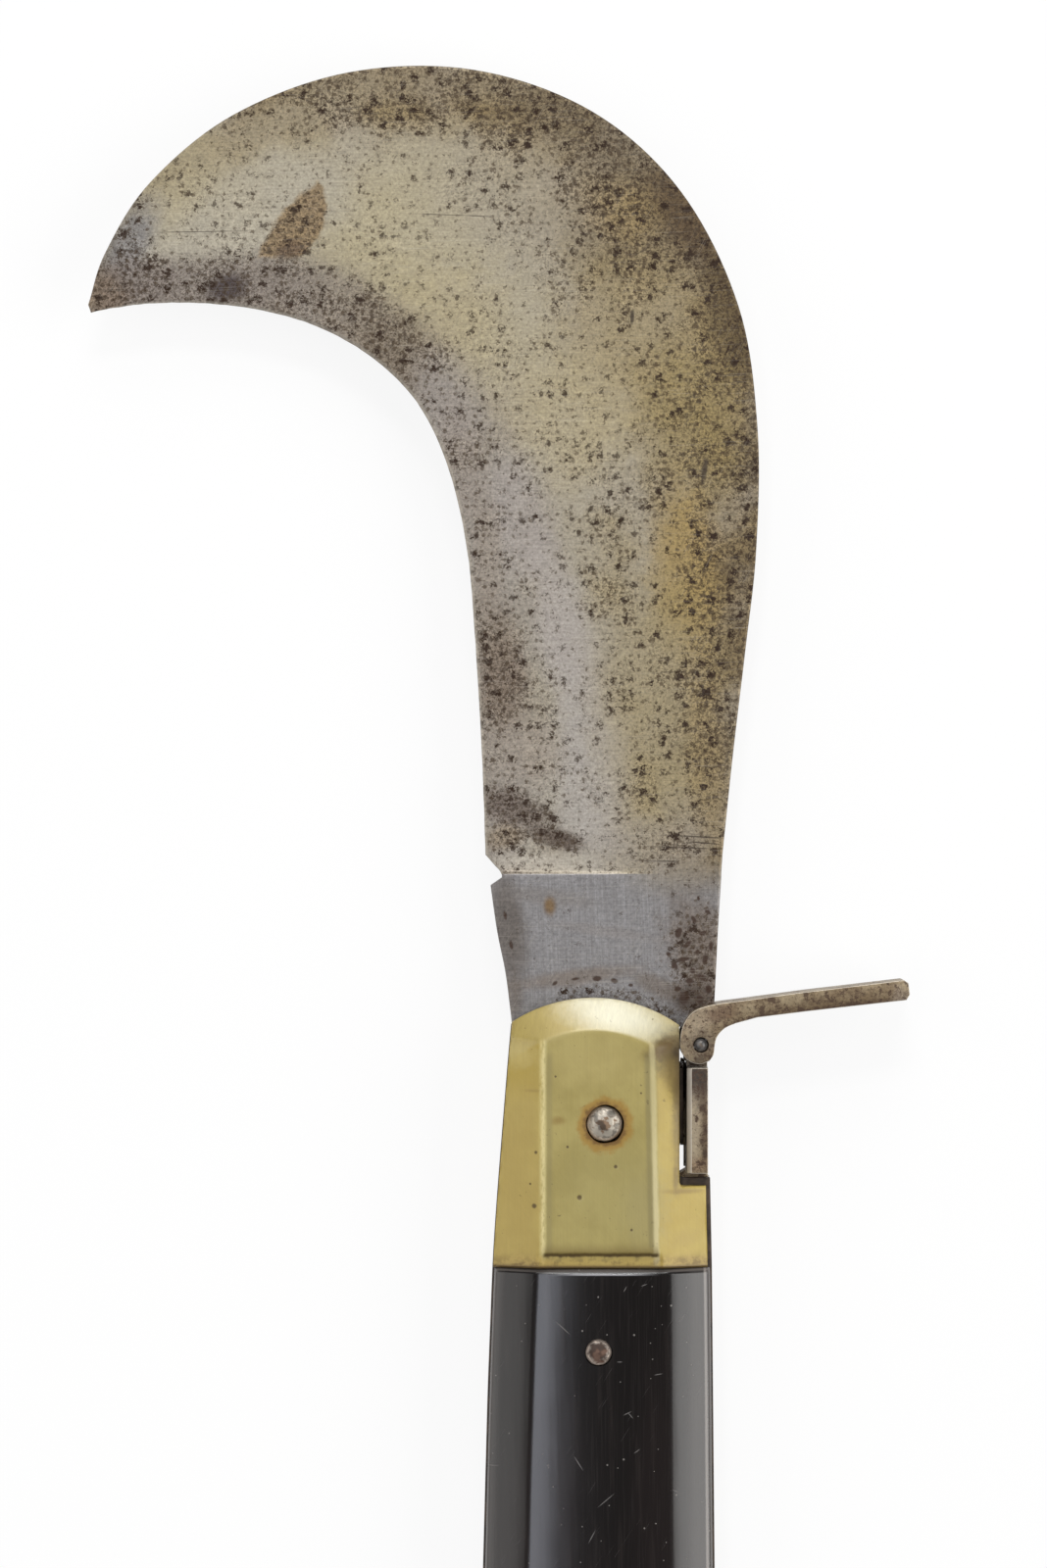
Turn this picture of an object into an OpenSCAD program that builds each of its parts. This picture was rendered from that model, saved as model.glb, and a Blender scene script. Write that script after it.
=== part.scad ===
// Large folding pruning knife: a hooked blade, a back spring and a lever that unlocks it.
// The knife lies on its far side. The origin is on the blade's pivot axis, in the plane
// that the knife lies on: +X to the back of the knife, +Y to the hook, +Z to the near side.

/* [Thickness of the knife] */
// Gap between the liners, in which the blade and the back spring work
slot_w = 3.0; // [2.4:0.1:3.6]
// Running clearance on each side of the blade and the spring
side_clear = 0.05; // [0.03:0.01:0.1]
// Thickness of a steel liner
liner_t = 1.0; // [0.8:0.1:1.4]
// Height of a bolster's flat panel above its liner
bolster_h = 4.0; // [3.4:0.1:5]
// Height of a horn scale's crown above its liner
horn_h = 3.95; // [3.2:0.05:5]
// Height of the horn's thin outer edge above its liner
horn_edge_h = 1.5; // [1:0.1:2]

/* [Blade] */
// Height of the hook's crest above the line where the grinding starts
blade_l = 103.2; // [95:0.1:112]
// Width of the cutting bevel
bevel_w = 1.5; // [0.8:0.1:2.5]
// Thickness of the cutting edge itself
edge_t = 0.16; // [0.1:0.02:0.3]
// Thickness of the blade where the cutting bevel starts
shoulder_t = 0.7; // [0.5:0.05:1]
// Share of the back's thickness that is lost on the way to the tip
distal_taper = 0.45; // [0.2:0.05:0.6]
// Width of the small chamfer along the back
back_chamfer = 0.35; // [0.2:0.05:0.6]
// Radius of the tang's round bearing part
tang_r = 10.1; // [9.6:0.1:10.4]

/* [Handle] */
// Length from the top of the bolsters to the butt
handle_l = 154; // [150:1:166]
// Length of the bolsters on the pivot axis's long side
bolster_tail = 18.3; // [16:0.1:20]
// Radius of the bolsters' arched top
arch_r = 18.9; // [18:0.1:19.6]
// Width of the bright bevel along the arched top
arch_bevel = 4.0; // [2.5:0.1:5]
// How far the liner stands out from the bolster along the back
liner_lip = 0.6; // [0.2:0.05:0.9]
// How far the liners stand out from the horn
horn_lip = 0.3; // [0.1:0.05:0.6]
// Width of the horn's sloping side facets
horn_facet_w = 4.7; // [3.5:0.1:6]

/* [Pins and rivets] */
// Radius of the blade's pivot pin
pivot_r = 2.0; // [1.6:0.1:2.4]
// Radius of the pivot pin's peened heads
pivot_head_r = 2.3; // [2.2:0.05:3]
// Running clearance of the blade on its pivot pin
pivot_clear = 0.05; // [0.02:0.01:0.09]
// Radius of the handle rivets
rivet_r = 1.25; // [1:0.05:1.5]
// Radius of the rivets' peened heads
rivet_head_r = 1.72; // [1.65:0.01:2.2]
// Radius of the small pins that hold the bolsters on the liners
bolster_pin_r = 0.9; // [0.6:0.1:1.2]
// Length of a bolster pin inside the bolster
bolster_pin_depth = 1.2; // [0.8:0.1:1.6]
// Clearance of a fixed pin in its hole
pin_fit = 0.02; // [0.01:0.01:0.05]

/* [Lever lock] */
// Travel of the spring's head between locked and released
lift = 0.3; // [0.25:0.05:0.4]
// Clearance between the released tooth and the tang's back
tooth_clear = 0.06; // [0.06:0.01:0.12]
// Clearance between the spring's head and the tang's back when the lock is shut
head_clear = 0.05; // [0.05:0.01:0.15]
// Width of the spring's broad head and of the lever's fork
head_w = 9.2; // [8:0.1:10]
// Thickness of the spring at its broad head
head_t = 2.7; // [2.4:0.1:2.9]
// Radius of the lever's hinge pin
lever_pin_r = 0.88; // [0.7:0.02:0.95]
// Running clearance of the lever on its pin
lever_clear = 0.1; // [0.05:0.01:0.1]
// Length of the lever from its pin
lever_l = 27.1; // [20:0.1:28]
// Thickness of the lever's arm
arm_t = 2.45; // [1.8:0.05:2.8]
// Half width of the lever at its end
arm_tip_w = 7.6; // [6:0.1:9]
// Full swing of the lever, in degrees
lever_swing = 98; // [90:1:98]
// Gap between the fork's cheeks and the blade and spring
fork_clear = 0.15; // [0.1:0.01:0.2]

/* [Hidden] */
$fn = 64;

steel_dark = "#8a8471";
steel_liner = "#5b544b";
brass_old = "#b0a268";
horn_black = "#2a2624";
steel_pin = "#9a948c";

// Heights from the knife's middle plane
liner_z = slot_w / 2;
cover_z = liner_z + liner_t;
mid_z = cover_z + bolster_h;
leaf_t = slot_w - 2 * side_clear;

// Smooth curve through a list of points of any dimension, with n steps a span
function bend(a, b, c, d, t) =
    0.5 * (2 * b + (c - a) * t + (2 * a - 5 * b + 4 * c - d) * t * t
    + (3 * b - a - 3 * c + d) * t * t * t);
function at(p, i) =
    i < 0 ? 2 * p[0] - p[1] : i >= len(p) ? 2 * p[len(p) - 1] - p[len(p) - 2] : p[i];
function curve(p, n) = concat(
    [for (i = [0:len(p) - 2]) for (k = [0:n - 1])
        bend(at(p, i - 1), p[i], p[i + 1], at(p, i + 2), k / n)],
    [p[len(p) - 1]]);
function flip(p) = [for (i = [len(p) - 1:-1:0]) p[i]];

// Handle sides seen from the near side: height, front, back
arch_c = [-1.4, -3.05];
joint_y = -bolster_tail;
butt_y = arch_c.y + arch_r - handle_l;
drawn_tail = 119.85;
tail_stretch = (joint_y - butt_y) / drawn_tail;
upper_sides = [[20, -11.1, 13.2], [9, -12.15, 13.3], [-1, -12.95, 13.4], [-9, -13.6, 13.5]];
lower_sides = [
    [0, -14.2, 13.7], [-14, -14.75, 13.85], [-28, -15.15, 13.95], [-44, -15.6, 14.1],
    [-60, -16.6, 14.4], [-76, -17.9, 14.8], [-89, -19.1, 14.9], [-100, -20.2, 14.4],
    [-108, -20.8, 13.0], [-113.6, -20.6, 10.5], [-117.6, -18.4, 6.2], [-119.85, -12, -2]
];
lower_scaled = [for (s = lower_sides) [joint_y + s[0] * tail_stretch, s[1], s[2]]];
sides = curve(concat(upper_sides, lower_scaled), 4);
horn_sides = [for (s = sides) if (s[0] <= joint_y + 0.001) s];
front_table = [for (s = flip(sides)) [s[0], s[1]]];
back_table = [for (s = flip(sides)) [s[0], s[2]]];
function back_x(y) = lookup(y, back_table);

// Lock: the tooth, the notch floor that carries the cam, and the lever's pin
tooth_x = tang_r + tooth_clear;
head_in_x = tang_r + lift + head_clear;
head_out_x = head_in_x + head_t;
notch_x = tang_r - 0.6;
notch_y = -8.0;
liner_notch_y = notch_y + 1;
liner_slit_y = -2.6;
liner_floor_x = tang_r - 0.05;
cam_clear = 0.05;
cam_reach = 2.7;
lever_pin_p = [notch_x + cam_clear + cam_reach, 9.9];
eye_r = lever_pin_p.x - tooth_x;
eye_out = 1.7;
tooth_y = lever_pin_p.y - 2.15;
head_y0 = -6.4;
head_y1 = 7.0;
notch_round = 0.6;
cam_foot_y = lever_pin_p.y - cam_reach - 0.3;

// Rivet places. The front rivets end in the liners, because the closed blade lies between them
rivet_p = [-0.75, joint_y - 10.6];
middle_y = joint_y - 61.7 * tail_stretch;
tail_p = [4.4, butt_y + 5.95];
spring_edge = 0.15;
bear_clear = 0.25;
bolster_pin_at = [[-7, -12.6], [5.4, -12.6]];

// Spring depth behind the back edge, from the head to the tail
head_step_y = -6.5;
spring_table = [[butt_y, 5.0], [-90, 5.3], [-50, 5.1], [-17, 4.6], [head_step_y, 3.85]];
function spring_in_x(y) = back_x(y) - spring_edge - lookup(y, spring_table);
middle_p = [spring_in_x(middle_y) - bear_clear - rivet_r, middle_y];

// Stack of triangles between rings of equal length, closed at both ends
module loft(rings) {
    n = len(rings[0]);
    m = len(rings);
    polyhedron(
        points = [for (r = rings) for (p = r) p],
        faces = concat(
            [[for (k = [0:n - 1]) k]],
            [for (i = [0:m - 2]) for (k = [0:n - 1])
                [i * n + k, (i + 1) * n + k, (i + 1) * n + (k + 1) % n]],
            [for (i = [0:m - 2]) for (k = [0:n - 1])
                [i * n + k, (i + 1) * n + (k + 1) % n, i * n + (k + 1) % n]],
            [[for (k = [n - 1:-1:0]) (m - 1) * n + k]]));
}

module near_side() {
    translate([0, 0, mid_z]) children();
}

module far_side() {
    translate([0, 0, mid_z]) mirror([0, 0, 1]) children();
}

// Flat shapes of the handle

module handle_face(front_in, back_in, top_in) {
    reach = 60;
    intersection() {
        polygon(concat(
            [for (s = sides) [s[1] + front_in, s[0]]],
            [for (s = flip(sides)) [s[2] - back_in, s[0]]]));
        union() {
            translate(arch_c) circle(r = arch_r - top_in, $fn = 128);
            translate([-reach, 2 * butt_y]) square([2 * reach, arch_c.y - 2 * butt_y]);
        }
    }
}

module notch_face(y) {
    span = 20;
    translate([notch_x, y + notch_round]) square([span, 2 * span]);
    translate([notch_x + notch_round, y]) square([span, 2 * span]);
    translate([notch_x + notch_round, y + notch_round]) circle(r = notch_round);
}

// Blade

plunge_y = 31.4;
crest_drawn = 103.2;
blade_stretch = blade_l / crest_drawn;
ricasso_front = [[-14.45, 30.1], [-13.6, 24.2], [-12.55, 19], [-11.85, 13.6], [-11.45, 8]];
ricasso_back = [[13.9, 12.3], [14.06, 15.5], [14.5, 24.2], [14.95, plunge_y]];
choil_x = -13.0;
// The heel's corner lands on the spring when the blade is closed
heel_p = [-11.3, 2.1];
shoulder_y = lever_pin_p.y + eye_r + 0.15;
blade_start = [
    [choil_x, 0, 14.95, 0], [-13.9, 1.2, 15.0, 1.2]
];
// Edge and back of the blade at matching places, heights counted from the plunge line
blade_stations = [
    [-15.1, 2.6, 15.1, 2.8], [-15.55, 15.1, 16.45, 15.6], [-16.3, 28.1, 18.0, 28.6],
    [-17.4, 41.1, 19.4, 41.6], [-19.75, 51.6, 19.55, 57.1], [-23.4, 59.6, 17.1, 72.6],
    [-28.8, 65.4, 9.8, 87.1], [-36, 69.7, -1.5, 97.3], [-43.6, 72.0, -16.5, 102.6],
    [-51, 72.9, -32.5, 102.3], [-57.5, 72.9, -47.2, 96.9], [-61.8, 72.4, -57.8, 88.3],
    [-64.2, 72.0, -63.5, 79.4], [-65.4, 71.7, -65.7, 72.7]
];

function stretched(s) = [
    s[0], plunge_y + s[1] * blade_stretch, s[2], plunge_y + s[3] * blade_stretch
];

function blade_ring(s, ground, share) =
    let (
        e = [s[0], s[1]],
        b = [s[2], s[3]],
        w = norm(b - e),
        way = (b - e) / w,
        back = leaf_t / 2 * (1 - distal_taper * share),
        bevel = min(bevel_w, 0.35 * w),
        chamfer = min(back_chamfer, 0.2 * w),
        profile = [
            [0, edge_t / 2], [bevel, shoulder_t / 2 * (1 - distal_taper * share)],
            [w - chamfer, back], [w, back - 0.7 * chamfer]
        ],
        side = [for (p = profile) concat(e + way * p[0], [back + (p[1] - back) * ground])]
    )
    concat(side, [for (p = flip(side)) [p[0], p[1], -p[2]]]);

module ground_blade() {
    track = curve([for (s = blade_stations) stretched(s)], 5);
    last = len(track) - 1;
    loft(concat(
        [blade_ring(stretched(blade_start[0]), 0, 0), blade_ring(stretched(blade_start[1]), 1, 0)],
        [for (i = [0:last]) blade_ring(track[i], 1, i / last)]));
}

module tang_face() {
    flat_y = tooth_y - 0.15;
    step_x = tooth_x - lift - 0.3;
    difference() {
        union() {
            circle(r = tang_r, $fn = 128);
            polygon(concat(
                [[choil_x, plunge_y], [choil_x, 31.1]],
                curve(ricasso_front, 3),
                [heel_p, [-tang_r, -1], [tang_r, 0], [tang_r, flat_y], [tang_r, shoulder_y]],
                [[ricasso_back[0].x, shoulder_y]],
                [for (i = [1:len(ricasso_back) - 1]) ricasso_back[i]]));
        }
        translate([step_x, flat_y]) square([ricasso_back[0].x, shoulder_y - flat_y]);
    }
}

module blade() {
    color(steel_dark) near_side() difference() {
        union() {
            ground_blade();
            translate([0, 0, -leaf_t / 2]) linear_extrude(height = leaf_t) tang_face();
        }
        cylinder(r = pivot_r + pivot_clear, h = 2 * leaf_t, center = true);
    }
}

// Pins: a shank with flared, peened heads at both ends, from one height to the other

module peened_pin(r, head_r, z0, z1, flare) {
    dome = 0.12;
    rotate_extrude() polygon([
        [0, z0], [head_r - dome, z0], [head_r, z0 + dome], [r, z0 + dome + flare],
        [r, z1 - dome - flare], [head_r, z1 - dome], [head_r - dome, z1], [0, z1]
    ]);
}

module peened_hole(r, head_r, top, flare) {
    dome = 0.12;
    far_below = 60;
    rotate_extrude() polygon([
        [0, -far_below], [r + pin_fit, -far_below], [r + pin_fit, top - dome - flare],
        [head_r + pin_fit, top - dome], [head_r + pin_fit, top + bolster_h], [0, top + bolster_h]
    ]);
}

pin_flare = 0.7;
pivot_top = cover_z + bolster_h - 0.05;

module pivot_pin() {
    color(steel_pin) near_side() peened_pin(pivot_r, pivot_head_r, -pivot_top, pivot_top, pin_flare);
}

// Height of the horn's surface at a place across the handle, above the liner
crown_drop = 0.5;
function horn_z(x, s) =
    let (
        front = s[1] + horn_lip,
        back = s[2] - horn_lip,
        half = (back - front) / 2 - horn_facet_w,
        off = x - (front + back) / 2
    )
    horn_h - crown_drop * off * off / (half * half);
function station(y) = [y, lookup(y, front_table), lookup(y, back_table)];
function rivet_top(p) = cover_z + horn_z(p.x, station(p.y)) * end_height(p.y) - 0.02;

module handle_rivet(p) {
    color(steel_pin) near_side() translate(p)
        peened_pin(rivet_r, rivet_head_r, -rivet_top(p), rivet_top(p), pin_flare);
}

module front_rivet() {
    top = rivet_top(rivet_p);
    dome = 0.12;
    color(steel_pin) translate(rivet_p) rotate_extrude() polygon([
        [0, liner_z], [rivet_r, liner_z], [rivet_r, top - dome - pin_flare],
        [rivet_head_r, top - dome], [rivet_head_r - dome, top], [0, top]
    ]);
}

module near_front_rivet() {
    near_side() front_rivet();
}

module far_front_rivet() {
    far_side() front_rivet();
}

module middle_rivet() {
    handle_rivet(middle_p);
}

module tail_rivet() {
    handle_rivet(tail_p);
}

// Bolsters, drawn above the middle plane

crease_front = -7.95;
crease_back = 6.45;
crease_lean = 1.1;
facet_slope = 0.42;
panel_end_y = joint_y + 1.7;
band_drop = 0.35;

module roof(sign) {
    far = 18;
    crease = sign > 0 ? crease_back : -crease_front;
    rotate([90, 0, 0]) translate([0, 0, -2 * far])
        linear_extrude(height = 4 * far) scale([sign, 1]) polygon([
            [-far, -1], [far, -1], [far, bolster_h - facet_slope * (far - crease)],
            [crease, bolster_h], [-far, bolster_h]
        ]);
}

module arch_body() {
    rim_h = bolster_h - facet_slope * 6.2;
    wide = 60;
    translate([arch_c.x, arch_c.y, 0]) {
        cylinder(r = arch_r, h = rim_h, $fn = 128);
        translate([0, 0, rim_h])
            cylinder(r1 = arch_r, r2 = arch_r - arch_bevel, h = bolster_h - rim_h, $fn = 128);
        translate([-wide / 2, -wide, 0]) cube([wide, wide, bolster_h]);
    }
}

module bolster() {
    width = crease_back - crease_front;
    difference() {
        intersection() {
            translate([0, 0, cover_z]) linear_extrude(height = bolster_h) difference() {
                intersection() {
                    handle_face(0.1, liner_lip, 0);
                    translate([-2 * width, joint_y]) square([4 * width, 2 * width + bolster_tail]);
                }
                notch_face(notch_y);
            }
            translate([0, 0, cover_z]) arch_body();
            translate([0, 0, cover_z]) roof(-1);
            translate([0, 0, cover_z]) rotate([0, 0, crease_lean]) roof(1);
        }
        translate([crease_front, joint_y - 1, mid_z - band_drop])
            cube([width + 0.4, panel_end_y - joint_y + 1, 1]);
        peened_hole(pivot_r, pivot_head_r, pivot_top, pin_flare);
        for (p = bolster_pin_at) translate([p.x, p.y, 0])
            cylinder(r = bolster_pin_r + pin_fit, h = cover_z + bolster_pin_depth);
    }
}

module near_bolster() {
    color(brass_old) near_side() bolster();
}

module far_bolster() {
    color(brass_old) far_side() bolster();
}

module bolster_pins() {
    color(steel_pin) for (p = bolster_pin_at) translate([p.x, p.y, liner_z])
        cylinder(r = bolster_pin_r, h = liner_t + bolster_pin_depth);
}

module near_bolster_pins() {
    near_side() bolster_pins();
}

module far_bolster_pins() {
    far_side() bolster_pins();
}

// Liners: beside the spring's head a liner stands as high as the tang's back

module liner_notch() {
    deep = 1;
    difference() {
        notch_face(liner_notch_y);
        translate([notch_x - deep, liner_slit_y])
            square([liner_floor_x - notch_x + deep, cam_foot_y - liner_slit_y]);
    }
}

module liner() {
    color(steel_liner) translate([0, 0, liner_z]) linear_extrude(height = liner_t) difference() {
        handle_face(0, 0, 0.3);
        liner_notch();
        circle(r = pivot_r + pin_fit);
        for (p = bolster_pin_at) translate(p) circle(r = bolster_pin_r + pin_fit);
        for (p = [rivet_p, middle_p, tail_p]) translate(p) circle(r = rivet_r + pin_fit);
    }
}

module near_liner() {
    near_side() liner();
}

module far_liner() {
    far_side() liner();
}

// Horn scales: a crown between two sloping facets, rounded off at the butt

butt_round = 9;
joint_round = 0.7;
crown_steps = 6;

function end_height(y) =
    let (
        butt_in = max(0, butt_y + butt_round - y) / butt_round,
        joint_in = max(0, y - joint_y + joint_round) / joint_round
    )
    (0.35 + 0.65 * sqrt(max(0, 1 - butt_in * butt_in))) * (1 - 0.12 * joint_in * joint_in);

function horn_ring(s) =
    let (
        front = s[1] + horn_lip,
        back = s[2] - horn_lip,
        facet = min(horn_facet_w, 0.3 * (back - front)),
        half = (back - front) / 2 - facet,
        centre = (back + front) / 2,
        high = end_height(s[0]),
        low = min(1, 0.4 + 0.6 * high)
    )
    concat(
        [[front, s[0], cover_z], [front, s[0], cover_z + horn_edge_h * low]],
        [for (k = [0:crown_steps])
            let (share = 2 * k / crown_steps - 1)
            [centre + half * share, s[0], cover_z + (horn_h - crown_drop * share * share) * high]],
        [[back, s[0], cover_z + horn_edge_h * low], [back, s[0], cover_z]]);

module scale_body() {
    first = horn_sides[0];
    second = horn_sides[1];
    eased = [for (t = [0, 0.35, 1]) station(first[0] - joint_round * t)];
    rest = [for (i = [1:len(horn_sides) - 1]) horn_sides[i]];
    difference() {
        loft([for (s = concat(eased, rest)) horn_ring(s)]);
        for (p = [rivet_p, middle_p, tail_p]) translate(p)
            peened_hole(rivet_r, rivet_head_r, rivet_top(p), pin_flare);
    }
}

module near_scale() {
    color(horn_black) near_side() scale_body();
}

module far_scale() {
    color(horn_black) far_side() scale_body();
}

// Back spring: a thin leaf with a tail block, and a broad head that carries the lever

module spring_face() {
    leaf = concat([head_step_y], [for (s = sides) if (s[0] < head_step_y && s[0] > tail_p.y + 10) s[0]]);
    block_top = [for (p = [[8.4, 13.8], [3.6, 9], [-3, 4.4], [-6.5, 2.6]]) [p.x, butt_y + p.y]];
    block_front = -6.5;
    difference() {
        union() {
            intersection() {
                polygon(concat(
                    [[head_in_x, tooth_y], [head_in_x, head_step_y + 0.6]],
                    [for (y = leaf) [spring_in_x(y), y]],
                    block_top,
                    [[block_front, butt_y + spring_edge]],
                    [for (s = flip(sides)) if (s[0] < head_step_y && s[2] > block_front)
                        [s[2] - spring_edge, max(s[0], butt_y + spring_edge)]],
                    [[head_out_x, head_y0], [head_out_x, tooth_y]]));
                handle_face(spring_edge, spring_edge, 0);
            }
            translate([tooth_x, tooth_y])
                square([head_out_x - tooth_x, lever_pin_p.y - tooth_y]);
            intersection() {
                translate(lever_pin_p) circle(r = eye_r);
                translate([tooth_x - 1, tooth_y]) square([lever_pin_p.x + eye_out - tooth_x + 1, 10]);
            }
        }
        translate(lever_pin_p) circle(r = lever_pin_r + pin_fit);
        translate(tail_p) circle(r = rivet_r + side_clear);
    }
}

module spring_head() {
    bevel = 0.6;
    rotate([90, 0, 0]) translate([0, 0, -head_y1]) linear_extrude(height = head_y1 - head_y0)
        polygon([
            [head_in_x, -head_w / 2 + bevel], [head_in_x + bevel, -head_w / 2],
            [head_out_x, -head_w / 2], [head_out_x, head_w / 2],
            [head_in_x + bevel, head_w / 2], [head_in_x, head_w / 2 - bevel]
        ]);
}

module backspring() {
    color(steel_dark) near_side() {
        translate([0, 0, -leaf_t / 2]) linear_extrude(height = leaf_t) spring_face();
        spring_head();
    }
}

// Lever: a forked cam on the spring's end and an arm bent off it

arm_slope = 7;
arm_in = 2.6;
bridge_x = 1.95;
bridge_n = 2.1;
fork_gap = leaf_t / 2 + fork_clear;

// The cam's reach falls evenly as the lever folds, so the spring's head drops with it
function cam_h(a) = cam_reach - lift * (a - 180) / lever_swing;
cam_fall = -lift / lever_swing * 180 / PI;
function cam_point(a) =
    cam_h(a) * [cos(a), sin(a)] + cam_fall * [-sin(a), cos(a)];
function arm_point(along, off) =
    along * [cos(arm_slope), sin(arm_slope)] + off * [-sin(arm_slope), cos(arm_slope)];

module lever_face() {
    end_round = 0.5;
    top = arm_in + arm_t;
    outer = [cam_point(180), [-2.5, 1.7], [-1.95, 3.1], [-0.95, 4.25], [0.6, 4.9], [2.6, 5.3]];
    under = [[1.1, -2.0], [1.6, -1.2], [1.75, 0], [2.1, 1.15], [3.05, 2.15], [4.4, 2.75]];
    polygon(concat(
        flip(curve(outer, 3)),
        [for (a = [186:6:276]) cam_point(a)],
        [cam_point(180 + lever_swing)],
        curve(under, 3),
        [arm_point(7.5, arm_in), arm_point(14, arm_in), arm_point(lever_l - end_round, arm_in - 0.15)],
        [arm_point(lever_l, arm_in + end_round), arm_point(lever_l, top - end_round)],
        [arm_point(lever_l - end_round, top - 0.05), arm_point(14, top), arm_point(6, top - 0.1)]));
}

module lever_plan() {
    root = 5;
    tall = 20;
    rotate([90, 0, 0]) translate([0, 0, -tall]) linear_extrude(height = 2 * tall) polygon([
        [-root, -head_w / 2], [root, -head_w / 2], [lever_l + root, -arm_tip_w / 2],
        [lever_l + root, arm_tip_w / 2], [root, head_w / 2], [-root, head_w / 2]
    ]);
}

module fork_slot() {
    reach = 6;
    translate([0, 0, -fork_gap]) linear_extrude(height = 2 * fork_gap) {
        translate([-reach, -reach]) square([reach + bridge_x, 2 * reach]);
        rotate(arm_slope) translate([-reach, -reach]) square([2 * reach, reach + bridge_n]);
    }
}

module lock_lever() {
    color(steel_dark) near_side() translate(lever_pin_p) difference() {
        intersection() {
            translate([0, 0, -head_w / 2]) linear_extrude(height = head_w) lever_face();
            lever_plan();
        }
        fork_slot();
        cylinder(r = lever_pin_r + lever_clear, h = 2 * head_w, center = true);
    }
}

module lever_pin() {
    short = 0.12;
    color(steel_pin) near_side() translate(lever_pin_p)
        cylinder(r = lever_pin_r, h = head_w - 2 * short, center = true);
}

blade();
pivot_pin();
near_bolster();
far_bolster();
near_bolster_pins();
far_bolster_pins();
near_liner();
far_liner();
near_scale();
far_scale();
near_front_rivet();
far_front_rivet();
middle_rivet();
tail_rivet();
backspring();
lock_lever();
lever_pin();
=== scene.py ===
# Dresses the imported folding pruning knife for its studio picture.
# Lengths in the dictionaries are millimetres, angles are degrees.
import math
from functools import reduce
import bmesh
import bpy
import numpy as np
from mathutils import Matrix, Vector, noise
from mathutils.bvhtree import BVHTree


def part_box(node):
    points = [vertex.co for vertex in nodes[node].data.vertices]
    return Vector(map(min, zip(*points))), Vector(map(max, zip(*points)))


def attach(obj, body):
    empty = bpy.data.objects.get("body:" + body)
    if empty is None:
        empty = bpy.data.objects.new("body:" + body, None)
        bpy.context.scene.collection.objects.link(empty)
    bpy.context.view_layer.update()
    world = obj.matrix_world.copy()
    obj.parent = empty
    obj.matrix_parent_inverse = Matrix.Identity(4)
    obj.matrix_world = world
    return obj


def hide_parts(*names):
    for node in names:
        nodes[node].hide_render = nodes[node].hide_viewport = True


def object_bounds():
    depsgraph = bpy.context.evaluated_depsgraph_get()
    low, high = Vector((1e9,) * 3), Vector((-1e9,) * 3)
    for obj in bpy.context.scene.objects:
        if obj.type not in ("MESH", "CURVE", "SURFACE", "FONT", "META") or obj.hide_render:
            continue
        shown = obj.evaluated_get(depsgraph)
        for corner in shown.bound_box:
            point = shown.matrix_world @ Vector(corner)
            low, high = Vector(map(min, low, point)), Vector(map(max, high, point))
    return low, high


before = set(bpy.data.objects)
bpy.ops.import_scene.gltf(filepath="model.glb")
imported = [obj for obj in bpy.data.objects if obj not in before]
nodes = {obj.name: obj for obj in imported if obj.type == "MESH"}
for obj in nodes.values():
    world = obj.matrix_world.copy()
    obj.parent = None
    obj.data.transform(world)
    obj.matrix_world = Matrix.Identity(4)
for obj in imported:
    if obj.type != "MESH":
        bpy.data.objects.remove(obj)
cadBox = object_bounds()
scene = bpy.context.scene
mm = 0.001
midZ = (cadBox[0].z + cadBox[1].z) / 2 / mm
print("frame loaded,", len(nodes), "nodes, middle plane at", round(midZ, 3), "mm")


def linked(name, data):
    thing = bpy.data.objects.new(name, data)
    scene.collection.objects.link(thing)
    return thing


# Corners of a CAD piece's box in millimetres
def boxOf(node):
    return [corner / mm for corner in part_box(node)]


# Shader and geometry trees: a Wire is one output socket, and operators on it add Math nodes
class Wire:
    def __init__(self, tree, socket):
        self.tree = tree
        self.socket = socket

    def add(self, kind, settings=None, inputs=None, out=0):
        node = self.tree.nodes.new(kind)
        for key, value in (settings or {}).items():
            if key == "stops":
                fillRamp(node.color_ramp, value)
            else:
                setattr(node, key, value)
        for key, value in (inputs or {}).items():
            if isinstance(value, Wire):
                self.tree.links.new(value.socket, node.inputs[key])
            else:
                node.inputs[key].default_value = value
        return Wire(self.tree, node.outputs[out])

    def calc(self, operation, first, second=0.0, third=0.0):
        kind = "ShaderNodeMath"
        return self.add(kind, {"operation": operation}, {0: first, 1: second, 2: third})

    def __add__(self, other):
        return self.calc("ADD", self, other)

    def __sub__(self, other):
        return self.calc("SUBTRACT", self, other)

    def __rsub__(self, other):
        return self.calc("SUBTRACT", other, self)

    def __mul__(self, other):
        return self.calc("MULTIPLY", self, other)

    def __truediv__(self, other):
        return self.calc("DIVIDE", self, other)

    def __pow__(self, other):
        return self.calc("POWER", self, other)

    def __abs__(self):
        return self.calc("ABSOLUTE", self)

    __radd__ = __add__
    __rmul__ = __mul__

    def larger(self, other):
        return self.calc("MAXIMUM", self, other)

    def smaller(self, other):
        return self.calc("MINIMUM", self, other)

    def part(self, axis):
        return self.add("ShaderNodeSeparateXYZ", {}, {0: self}, axis)

    # 0 below low and 1 above high, with a smooth rise; low may be the larger of the two
    def rise(self, low, high):
        if low > high:
            return 1 - self.rise(high, low)
        inputs = {"Value": self, "From Min": low, "From Max": high}
        return self.add("ShaderNodeMapRange", {"interpolation_type": "SMOOTHSTEP"}, inputs)


def fillRamp(ramp, stops):
    while len(ramp.elements) < len(stops):
        ramp.elements.new(0.5)
    for element, (place, hue) in zip(ramp.elements, stops):
        element.position = place
        element.color = tone(*hue)


# The strongest of some masks
def strongest(masks):
    return reduce(Wire.larger, masks)


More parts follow.
